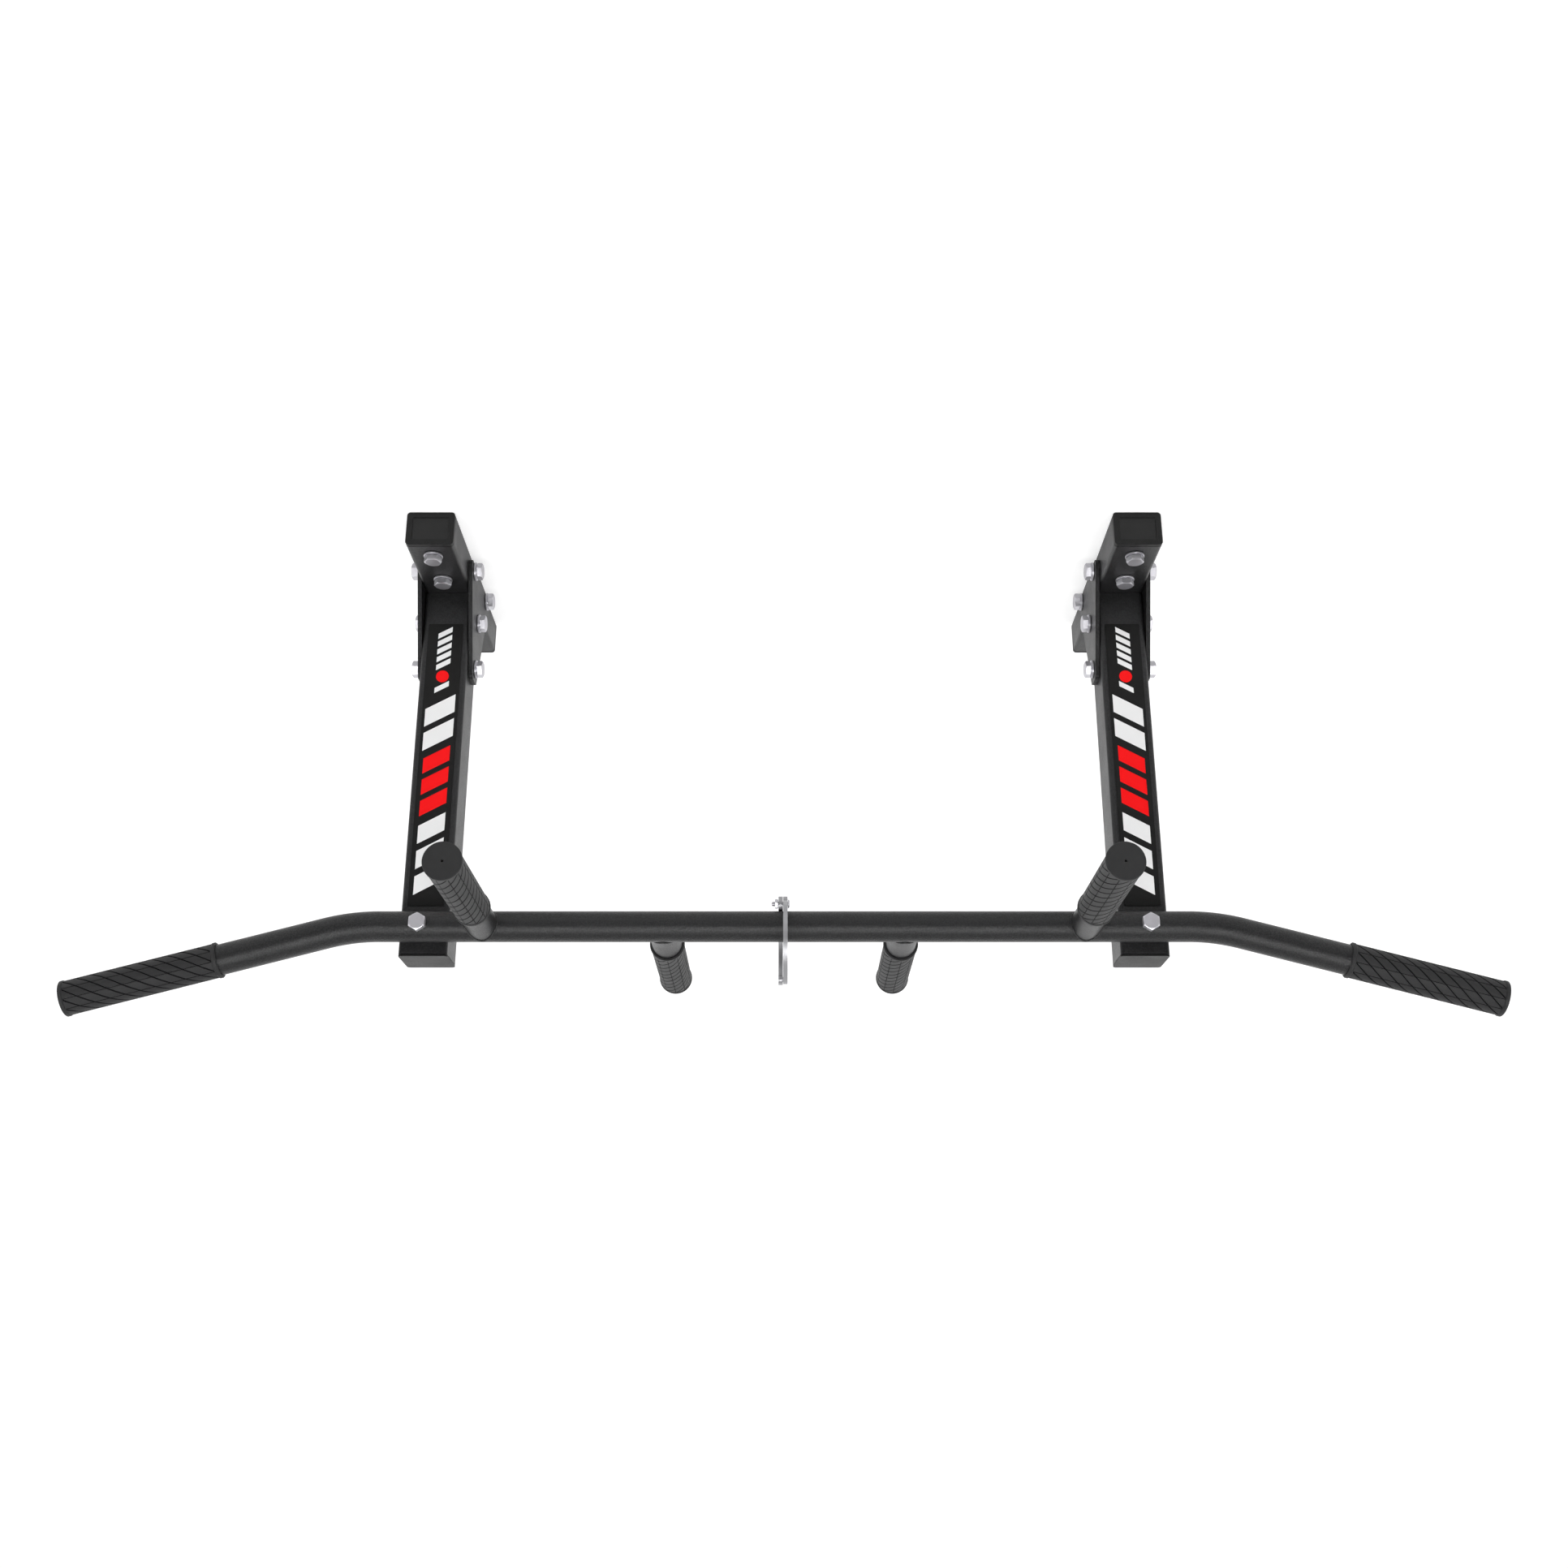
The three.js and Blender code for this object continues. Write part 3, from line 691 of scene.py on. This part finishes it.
hex_flats = 13
shank_radius = 4
head_height = 5.3
washer_radius = 8
washer_thickness = 1.6
washer_hole = 3.5
washer_head = washer_thickness + head_height
collar_radius = 5.6
collar_top = washer_thickness + 0.8
nut_height = 6.5
nut_hole = 4.1
nut_sink = 0.9
overlap = 0.1
head_on_washer = gather(
    washer(washer_radius, washer_thickness, washer_hole),
    lathe([(0, washer_thickness - overlap), (collar_radius, washer_thickness - overlap),
           (collar_radius, collar_top + overlap), (0, collar_top + overlap)]),
    hexagon(hex_flats, collar_top, washer_head))
plain_head = hexagon(hex_flats, 0, head_height)
nut_bore = lathe([(0, -1), (nut_hole, -1), (nut_hole, nut_height - nut_sink),
                  (nut_hole + nut_sink + overlap, nut_height + overlap), (0, nut_height + overlap)])
nut = combine_solids(hexagon(hex_flats, 0, nut_height, True), nut_bore, "DIFFERENCE")
print("hex head faces", len(plain_head.faces), "nut faces", len(nut.faces))

# %% [markdown]
# A bolt is its head and a shank with a chamfered end. The end sits just inside its nut. The shank
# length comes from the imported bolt: how far the node reaches along the bolt's axis, less the head.

# %% Place the bolts and nuts
def shank(radius, length, chamfer=0.7):
    return lathe([(0, -length), (radius - chamfer, -length), (radius, -length + chamfer),
                  (radius, 1), (0, 1)], 32)


def add_bolt(node, name, head, head_length, bearing, direction):
    axis = max(range(3), key=lambda i: abs(direction[i]))
    reach = (high(node) - low(node))[axis] / mm
    bm = gather(head.copy(), shank(shank_radius, reach - head_length))
    aim(bm, bearing, direction)
    make_piece(bm, name, zinc_plate, "frame", "zinc", node)


def add_nut(node, name, bearing, direction):
    bm = nut.copy()
    aim(bm, bearing, direction)
    make_piece(bm, name, zinc_plate, "frame", "zinc", node)


for name, side in sides.items():
    inward = Vector((-side, 0, 0))
    for place in gusset_bolts:
        bolt, bolt_nut = f"{name}_{place}_bolt", f"{name}_{place}_nut"
        bearing = end_towards(bolt, inward) - inward * washer_head * mm
        add_bolt(bolt, f"{name}_{place}_hex_bolt", head_on_washer, washer_head, bearing, inward)
        add_nut(bolt_nut, f"{name}_{place}_hex_nut", end_towards(bolt_nut, inward), -inward)
    front = Vector((0, -1, 0))
    bolt, bolt_nut = f"{name}_bar_bolt", f"{name}_bar_nut"
    bearing = end_towards(bolt, front) - front * head_height * mm
    add_bolt(bolt, f"{name}_bar_hex_bolt", plain_head, head_height, bearing, front)
    add_nut(bolt_nut, f"{name}_bar_hex_nut", end_towards(bolt_nut, front), -front)

# %% [markdown]
# The ceiling screws are coach screws: a hex head on a washer, a plain neck inside the rail and a
# real helical thread in the ceiling. A small four-sided outline is spun with a rise at each step,
# so the spin draws a helix instead of a ring.

# %% Helical thread
def thread(core, crest, low_end, turns, pitch, steps=20):
    """A thread ridge that climbs from low_end, as a closed solid, in millimetres."""
    bm = bmesh.new()
    root = core - overlap
    outline = [(root, 0), (crest, pitch * 0.35), (crest, pitch * 0.45), (root, pitch * 0.8)]
    points = [bm.verts.new((radius * mm, 0, (low_end + rise) * mm)) for radius, rise in outline]
    start = bm.faces.new(points)
    total = int(turns * steps)
    bmesh.ops.spin(bm, geom=[start, *points, *start.edges], cent=(0, 0, 0), axis=(0, 0, 1),
                   dvec=(0, 0, pitch * mm / steps), angle=2 * math.pi * turns, steps=total)
    bmesh.ops.recalc_face_normals(bm, faces=bm.faces)
    return bm


# %% Ceiling screws
screw_core = 3.1
screw_pitch = 3.2
neck_length = 34
point_length = 8
thread_from_point = 7
thread_below_head = 38
for name in sides:
    for index in range(1, 5):
        node = f"{name}_ceiling_screw_{index}"
        bearing = end_towards(node, (0, 0, -1)) + Vector((0, 0, washer_head * mm))
        length = (high(node) - low(node)).z / mm - washer_head
        body = lathe([(0, -length), (0.4, -length + 0.3), (screw_core, -length + point_length),
                      (screw_core, -neck_length - 2), (shank_radius, -neck_length),
                      (shank_radius, 1), (0, 1)], 24)
        turns = (length - thread_from_point - thread_below_head) / screw_pitch
        ridge = thread(screw_core, shank_radius, -length + thread_from_point, turns, screw_pitch)
        screw = gather(head_on_washer.copy(), body, ridge)
        aim(screw, bearing, (0, 0, -1))
        make_piece(screw, f"{name}_coach_screw_{index}", zinc_plate, "frame", "zinc", node)
print("coach screw length", round(length, 1), "mm under its washer")
for shape in (head_on_washer, plain_head, nut):
    shape.free()

# %% [markdown]
# The bar is one round tube, straight between the posts and bent down near each end. A circle is
# extruded from one station of the centre line to the next. Both bends are arcs cut into small
# steps so that their highlights stay smooth.

# %% Bent bar
bar_y = middle("main_bar").y
bar_z = middle("left_bar_bolt").z
droop = math.radians(14.8)
bend_radius = 170 * mm
bend_corner = abs(post_x["right"]) + 55 * mm
end_reach = 233 * mm
grip_end_wall = 4 * mm
tube_stop = grip_end_wall + touch_gap
bend_steps = 16


def bar_stations():
    """Places and turns about Y along the bar, from left to right."""
    start = bend_corner - bend_radius * math.tan(droop / 2)
    half = [(Vector((start * step / 8, bar_y, bar_z)), 0.0) for step in range(9)]
    for step in range(1, bend_steps + 1):
        angle = droop * step / bend_steps
        offset = Vector((math.sin(angle), 0, math.cos(angle) - 1)) * bend_radius
        half.append((Vector((start, bar_y, bar_z)) + offset, angle))
    along = Vector((math.cos(droop), 0, -math.sin(droop)))
    half.append((Vector((bend_corner, bar_y, bar_z)) + along * (end_reach - tube_stop), droop))
    mirrored = [(Vector((-place.x, place.y, place.z)), -angle) for place, angle in half[:0:-1]]
    return mirrored + half


def bent_tube(stations, radius, wall, facets=64):
    bm = bmesh.new()
    poses = [Matrix.Translation(place) @ Matrix.Rotation(math.pi / 2 + angle, 4, "Y")
             for place, angle in stations]
    bmesh.ops.create_circle(bm, segments=facets, radius=radius, matrix=poses[0])
    ring = list(bm.edges)
    for before, after in zip(poses, poses[1:]):
        grown = bmesh.ops.extrude_edge_only(bm, edges=ring)["geom"]
        moved = [item for item in grown if isinstance(item, bmesh.types.BMVert)]
        ring = [item for item in grown if isinstance(item, bmesh.types.BMEdge)]
        bmesh.ops.transform(bm, matrix=after @ before.inverted(), verts=moved)
    bmesh.ops.recalc_face_normals(bm, faces=bm.faces)
    outward = bm.faces[0].calc_center_median() - stations[0][0]
    if bm.faces[0].normal.dot(outward) < 0:
        bmesh.ops.reverse_faces(bm, faces=bm.faces)
    bmesh.ops.solidify(bm, geom=list(bm.faces), thickness=wall)
    return bm


stations = bar_stations()
# Both holes are cut at once: a second cut often leaves doubled diagonals in the triangulated mesh.
bar_holes = [[(x, y, bar_z) for y in bar_drill] for x in post_x.values()]
bar = drill(bent_tube(stations, bar_radius, bar_wall), bar_holes)
print("bar faces", len(bar.faces))
make_piece(bar, "bent_bar", powder_coat, "frame", "black_coat", "main_bar")

# %% [markdown]
# The four handles are short lengths of the same tube, cut to fit round the bar and welded to it.
# The lower ring of a cylinder is dropped onto the bar's surface, and a thin bead with a slight
# ripple follows the same curve.

# %% Handles
handle_reach = 180 * mm
saddle_radius = bar_radius + touch_gap
bead_radius = 0.8 * mm
bead_offset = 0.2 * mm
bead_lift = 0.4 * mm
ripple_height = 0.15 * mm
ripple_count = 40


def saddle_height(sideways):
    """Height of the bar's surface at a distance to the side of the bar's centre line."""
    return math.sqrt(max(saddle_radius ** 2 - sideways ** 2, 0.0))


def coped_tube():
    bm = bmesh.new()
    top = handle_reach - tube_stop
    bmesh.ops.create_cone(bm, cap_ends=False, segments=64, radius1=bar_radius, radius2=bar_radius,
                          depth=top)
    bmesh.ops.translate(bm, vec=(0, 0, top / 2), verts=bm.verts)
    bmesh.ops.solidify(bm, geom=list(bm.faces), thickness=bar_wall)
    for vert in bm.verts:
        if vert.co.z < top / 2:
            vert.co.z = saddle_height(vert.co.y)
    return bm


def weld_bead():
    bm = bmesh.new()
    bead = bmesh.ops.create_circle(bm, segments=8, radius=bead_radius,
                                   matrix=Matrix.Translation((bar_radius + bead_offset, 0, 0))
                                   @ Matrix.Rotation(math.pi / 2, 4, "X"))["verts"]
    bmesh.ops.spin(bm, geom=bead + list(bm.edges), cent=(0, 0, 0), axis=(0, 0, 1),
                   angle=2 * math.pi, steps=120, use_merge=True)
    bmesh.ops.recalc_face_normals(bm, faces=bm.faces)
    for vert in bm.verts:
        turn = math.atan2(vert.co.y, vert.co.x)
        ripple = ripple_height * math.sin(ripple_count * turn)
        vert.co.z += saddle_height(bar_radius * math.sin(turn)) + bead_lift + ripple
    return bm


handles = {}
for name, side in sides.items():
    handles[f"front_{name}"] = (middle(f"front_{name}_handle").x, Vector((0, -1, 0)))
    handles[f"rear_{name}"] = (middle(f"rear_{name}_handle").x, Vector((0, 1, 0)))
for name, (x, direction) in handles.items():
    arm = gather(coped_tube(), weld_bead())
    aim(arm, (x, bar_y, bar_z), direction)
    make_piece(arm, f"{name}_arm", powder_coat, "frame", "black_coat", f"{name}_handle")
print("handles at x =", {name: round(x, 3) for name, (x, _) in handles.items()})

# %% [markdown]
# A grip's pattern has ten straight grooves along it and slanting ones that wind round it as
# right-handed helices, so its pads are rhombi. The sleeve is made flat: a sheared grid of cells,
# each cell inset twice to leave a groove, then cut into narrow strips, trimmed at both ends and
# rolled up. Its edges are carried down to the bore, which closes it. The flat sheet is stretched
# sideways while it is inset, so the straight grooves come out finer than the slanting ones.

# %% Grooved sleeve
grip_length = 125
grip_outer = 14.0
grip_bore = 12.8
flange_outer = 14.6
flange_length = 3
groove_depth = 0.7
groove_half = 0.62
pad_slope = 0.34
sideways_stretch = 3.0
cells_round = 10
cell_rows = 24
cell_length = 12.0
strip_count = 6
sleeve_gap = 0.3


def grooved_sleeve():
    girth = 2 * math.pi * grip_outer
    cell_width = girth / cells_round
    bm = bmesh.new()
    bmesh.ops.create_grid(bm, x_segments=cells_round, y_segments=cell_rows, size=0.5)
    # This float layer is a painted shade mask: 1 at the bottom of a groove, 0 on the pads.
    depth = bm.verts.layers.float.new("painted_groove_shade")
    for vert in bm.verts:
        around = (vert.co.x + 0.5) * girth
        along = vert.co.y * cell_rows * cell_length + around / cell_width * cell_length
        vert.co = (around * sideways_stretch, along, -groove_depth)
        vert[depth] = 1.0
    pads = list(bm.faces)
    bmesh.ops.inset_individual(bm, faces=pads, thickness=groove_half, use_even_offset=True)
    bmesh.ops.inset_individual(bm, faces=pads, thickness=pad_slope, use_even_offset=True)
    for vert in {vert for pad in pads for vert in pad.verts}:
        vert.co.z = 0
        vert[depth] = 0.0
    for vert in bm.verts:
        vert.co.x /= sideways_stretch
    for index in range(1, cells_round * strip_count):
        cut_at = girth * index / (cells_round * strip_count)
        bmesh.ops.bisect_plane(bm, geom=list(bm.verts) + list(bm.edges) + list(bm.faces),
                               plane_co=(cut_at, 0, 0), plane_no=(1, 0, 0), dist=0.01)
    middle_row = girth / cell_width * cell_length / 2
    trim = grip_length / 2 - flange_length - sleeve_gap
    for sign in (-1, 1):
        bmesh.ops.bisect_plane(bm, geom=list(bm.verts) + list(bm.edges) + list(bm.faces),
                               plane_co=(0, middle_row + sign * trim, 0), plane_no=(0, sign, 0),
                               clear_outer=True)
    for vert in bm.verts:
        radius = grip_outer + vert.co.z
        angle = vert.co.x / grip_outer
        along = vert.co.y - middle_row - grip_length / 2
        vert.co = Vector((radius * math.cos(angle), radius * math.sin(angle), along)) * mm
    bmesh.ops.remove_doubles(bm, verts=bm.verts, dist=0.01 * mm)
    return bm


def close_to_bore(bm):
    rims = [edge for edge in bm.edges if edge.is_boundary]
    grown = bmesh.ops.extrude_edge_only(bm, edges=rims)["geom"]
    for vert in grown:
        if isinstance(vert, bmesh.types.BMVert):
            flat = Vector((vert.co.x, vert.co.y, 0)).normalized() * grip_bore * mm
            vert.co = (flat.x, flat.y, vert.co.z)
    bmesh.ops.bridge_loops(bm, edges=[edge for edge in bm.edges if edge.is_boundary])
    bmesh.ops.recalc_face_normals(bm, faces=bm.faces)
    return bm


sleeve = close_to_bore(grooved_sleeve())
open_edges = sum(edge.is_boundary for edge in sleeve.edges)
print("sleeve faces", len(sleeve.faces), "open edges", open_edges)

# %% [markdown]
# Both ends of a grip have a plain raised band, and the outer end is closed by a flat disc with a
# vent hole. These are turned shapes that share the sleeve's material.

# %% Bands, discs and the six grips
band_bevel = 0.5
shoulder = 0.5
band_facets = 72
vent_radius = 1
disc_back = grip_end_wall / mm
twist_step = 0.3
flange_bevel = flange_outer - band_bevel
band_start = -grip_length
band_end = band_start + flange_length
inner_band = lathe([(grip_bore, band_start), (flange_bevel, band_start),
                    (flange_outer, band_start + band_bevel), (flange_outer, band_end - band_bevel),
                    (flange_bevel, band_end), (grip_outer - shoulder, band_end + shoulder),
                    (grip_bore, band_end + shoulder), (grip_bore, band_start)], band_facets)
end_disc = lathe([(vent_radius, 0), (flange_bevel, 0), (flange_outer, -band_bevel),
                  (flange_outer, -flange_length + band_bevel), (flange_bevel, -flange_length),
                  (grip_outer - shoulder, -flange_length - shoulder),
                  (grip_bore, -flange_length - shoulder), (grip_bore, -disc_back),
                  (vent_radius, -disc_back), (vent_radius, 0)], band_facets)
grip_shape = gather(sleeve, inner_band, end_disc)
along_right = Vector((math.cos(droop), 0, -math.sin(droop)))
grips = {}
for name, side in sides.items():
    direction = Vector((side * along_right.x, 0, along_right.z))
    corner = Vector((side * bend_corner, bar_y, bar_z))
    grips[f"{name}_end_grip"] = (corner + direction * end_reach, direction, 0.0)
for index, (name, (x, direction)) in enumerate(handles.items()):
    place = Vector((x, bar_y, bar_z)) + direction * handle_reach
    grips[f"{name}_grip"] = (place, direction, twist_step * index)
for name, (place, direction, twist) in grips.items():
    bm = grip_shape.copy()
    aim(bm, place, direction, twist)
    rubber_name = name.replace("_grip", "_rubber")
    make_piece(bm, rubber_name, grip_rubber, "frame", "grip_rubber", name)
print("grip faces", len(grip_shape.faces))
grip_shape.free()

# %% [markdown]
# The ring comes in two halves that pass on either side of the bar. A thick section is spun half
# way round and two round ears are joined on. A slab then cuts the plate out of the middle, so
# that no two faces lie on each other while the solids are joined. The holes are drilled last.

# %% Ring halves
ring_inner = 26.25 * mm
ring_width = 7.8 * mm
ring_outer = ring_inner + ring_width
ear_radius = 6.1 * mm
rivet_ear_radius = 3.8 * mm
ring_bolt_hole = 2.3 * mm
slab_half = 60 * mm
spare = 3 * mm
ear_z = middle("ring_nut").z
rivet_z = middle("ring_rivet").z
ring_y = middle("ring_nut").y
ring_z = rivet_z + ring_inner + ring_width / 2
ring_steps = 48


def ring_section(x_low, x_high):
    """Four points and a face: the ring's cross-section above its centre."""
    bm = bmesh.new()
    corners = [bm.verts.new((x, ring_y, z)) for x, z in
               ((x_low, ring_z + ring_inner), (x_high, ring_z + ring_inner),
                (x_high, ring_z + ring_outer), (x_low, ring_z + ring_outer))]
    bm.faces.new(corners)
    return bm


def ring_half(node, front):
    a, b = low(node).x, high(node).x
    bm = ring_section(a - spare, b + spare)
    bmesh.ops.spin(bm, geom=list(bm.faces) + list(bm.edges) + list(bm.verts),
                   cent=(0, ring_y, ring_z), axis=(1, 0, 0),
                   angle=math.pi if front else -math.pi, steps=ring_steps)
    bmesh.ops.remove_doubles(bm, verts=bm.verts, dist=0.001 * mm)
    bmesh.ops.recalc_face_normals(bm, faces=bm.faces)
    for radius, z, reach in ((ear_radius, ear_z, 4 * mm), (rivet_ear_radius, rivet_z, 5 * mm)):
        ear = rod(radius, (a - reach, ring_y, z), (b + reach, ring_y, z), 48)
        bm = combine_solids(bm, ear, "UNION")
    slab = block((a, ring_y - slab_half, ring_z - slab_half),
                 (b, ring_y + slab_half, ring_z + slab_half))
    bm = combine_solids(bm, slab, "INTERSECT")
    bolt_hole = rod(ring_bolt_hole, (a - mm, ring_y, ear_z), (b + mm, ring_y, ear_z), 32)
    bm = combine_solids(bm, bolt_hole, "DIFFERENCE")
    sink = lathe([(0, -5), (2.3, -5), (2.3, -1), (3.2, 0.05), (3.2, 1), (0, 1)], 32)
    aim(sink, (b if front else a, ring_y, rivet_z), (1 if front else -1, 0, 0))
    bm = combine_solids(bm, sink, "DIFFERENCE")
    round_edges(bm, sharp_edges(bm, math.radians(60)), plate_round, 2)
    return bm


for node, front in (("ring_front_half", True), ("ring_rear_half", False)):
    half = ring_half(node, front)
    print(node, "faces", len(half.faces))
    make_piece(half, node.replace("half", "plate"), galvanised, "ring", "ring_steel", node)

# %% [markdown]
# A small bolt with a low round head closes the ring above the bar, with a nut and a short threaded
# end on the other side. A countersunk rivet joins the halves at the bottom.

# %% Ring fasteners
pan_height = 1.4
ring_core = 1.75
ring_bolt_length = (high("ring_bolt") - low("ring_bolt")).x / mm - pan_height
head = lathe([(0, pan_height), (2.2, pan_height), (3.2, 1.05), (3.7, 0.3), (3.7, 0), (0, 0)], 40)
core = shank(ring_core, ring_bolt_length, 0.5)
ridge = thread(ring_core, 2.0, -ring_bolt_length + 0.4, turns=9, pitch=0.7, steps=24)
ring_bolt = gather(head, core, ridge)
ring_bolt_place = end_towards("ring_bolt", (1, 0, 0)) - Vector((pan_height * mm, 0, 0))
aim(ring_bolt, ring_bolt_place, (1, 0, 0))
make_piece(ring_bolt, "ring_pan_bolt", zinc_plate, "ring", "zinc", "ring_bolt")
nut_bore = lathe([(0, -1), (2.05, -1), (2.05, 2.3), (2.5, 2.7), (0, 2.7)], 32)
ring_nut = combine_solids(hexagon(7, 0, 2.6, True), nut_bore, "DIFFERENCE")
aim(ring_nut, end_towards("ring_nut", (1, 0, 0)), (-1, 0, 0))
make_piece(ring_nut, "ring_hex_nut", zinc_plate, "ring", "zinc", "ring_nut")
rivet_half = (high("ring_rivet") - low("ring_rivet")).x / mm / 2
rivet = lathe([(0, -rivet_half), (2.7, -rivet_half), (2.9, -rivet_half + 0.15),
               (2, -rivet_half + 1), (2, rivet_half - 1), (2.9, rivet_half - 0.15),
               (2.7, rivet_half), (0, rivet_half)], 40)
aim(rivet, middle("ring_rivet"), (1, 0, 0))
make_piece(rivet, "ring_flat_rivet", zinc_plate, "ring", "zinc", "ring_rivet")

# %% [markdown]
# A long label lies on the front of each post. Its print is a plain pattern of slanted bars and a
# dot, white and red on black, drawn by the material from the label's own coordinates. It has no
# lettering and stands for no mark.

# %% Label pattern
# Each row of bars: half width, top, pitch, share of the pitch that is inked, count.
white_bars = [(6.0, -67, 7.4, 0.66, 5), (6.0, -118, 7.4, 0.66, 1),
              (12.5, -134, 22.0, 0.74, 2), (11.0, -240, 22.0, 0.72, 3)]
red_bars = (11.0, -180, 19.0, 0.72, 3)
red_disc = (-110.5, 5.5)
bar_slant = 0.55


def bars(tree, along, sideways, half_width, top, pitch, share, count):
    """A mask of slanted bars, counted down from a height in millimetres."""
    below_top = combine_values(tree, "SUBTRACT", top, along)
    turns = combine_values(tree, "DIVIDE", below_top, pitch)
    part = combine_values(tree, "FRACT", turns, 0.0)
    mask = combine_values(tree, "LESS_THAN", part, share)
    for test, value, limit in (("LESS_THAN", sideways, half_width), ("LESS_THAN", turns, count),
                               ("GREATER_THAN", turns, 0.0)):
        mask = combine_values(tree, "MULTIPLY", mask, combine_values(tree, test, value, limit))
    return mask


def disc(tree, from_middle, height, centre, radius):
    offset = combine_values(tree, "SUBTRACT", height, centre)
    squares = [combine_values(tree, "MULTIPLY", value, value) for value in (from_middle, offset)]
    squared = combine_values(tree, "ADD", *squares)
    return combine_values(tree, "LESS_THAN", squared, radius ** 2)


def label_material():
    material = finish("printed_label", (0.004, 0.004, 0.004), (0.006, 0.006, 0.006),
                      (0.02, 0.02, 0.02), (0.34, 0.40), ior=1.3, grains=600, bump=0.004, wear=0.1)
    tree = material.node_tree
    place = add_node(tree, "TexCoord")
    axes = add_node(tree, "SeparateXYZ")
    tree.links.new(place.outputs["Object"], axes.inputs[0])
    from_middle = combine_values(tree, "ABSOLUTE", axes.outputs["X"], 0.0)
    from_middle = combine_values(tree, "SUBTRACT", from_middle, post_x["right"])
    from_middle = combine_values(tree, "MULTIPLY", from_middle, 1000)
    height = combine_values(tree, "MULTIPLY", axes.outputs["Z"], 1000)
    slant = combine_values(tree, "MULTIPLY", from_middle, bar_slant)
    along = combine_values(tree, "ADD", height, slant)
    sideways = combine_values(tree, "ABSOLUTE", from_middle, 0.0)
    white_rows = [bars(tree, along, sideways, *row) for row in white_bars]
    ink = white_rows[0]
    for row in white_rows[1:]:
        ink = combine_values(tree, "MAXIMUM", ink, row)
    red_row = bars(tree, along, sideways, *red_bars)
    red = combine_values(tree, "MAXIMUM", red_row, disc(tree, from_middle, height, *red_disc))
    shader = tree.nodes["Principled BSDF"]
    film = shader.inputs["Base Color"].links[0].from_socket
    colour = mix_colours(tree, ink, film, (0.86, 0.86, 0.86))
    colour = mix_colours(tree, red, colour, (0.95, 0.0, 0.002))
    tree.links.new(colour, shader.inputs["Base Color"])
    return material


printed_label = label_material()

# %% Labels
for name in sides:
    node = f"{name}_sticker"
    bm = block(low(node), high(node))
    round_edges(bm, edges_along(bm, 1), 1.0 * mm, 4)
    make_piece(bm, f"{name}_label", printed_label, "frame", "sticker", node)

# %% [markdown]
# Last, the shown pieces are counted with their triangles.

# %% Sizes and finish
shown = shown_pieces()
triangles = {piece.name: sum(len(face.vertices) - 2 for face in piece.data.polygons) for piece in shown}
print(len(shown), "pieces,", sum(triangles.values()), "triangles")
print("most:", sorted(triangles.items(), key=lambda item: -item[1])[:4])
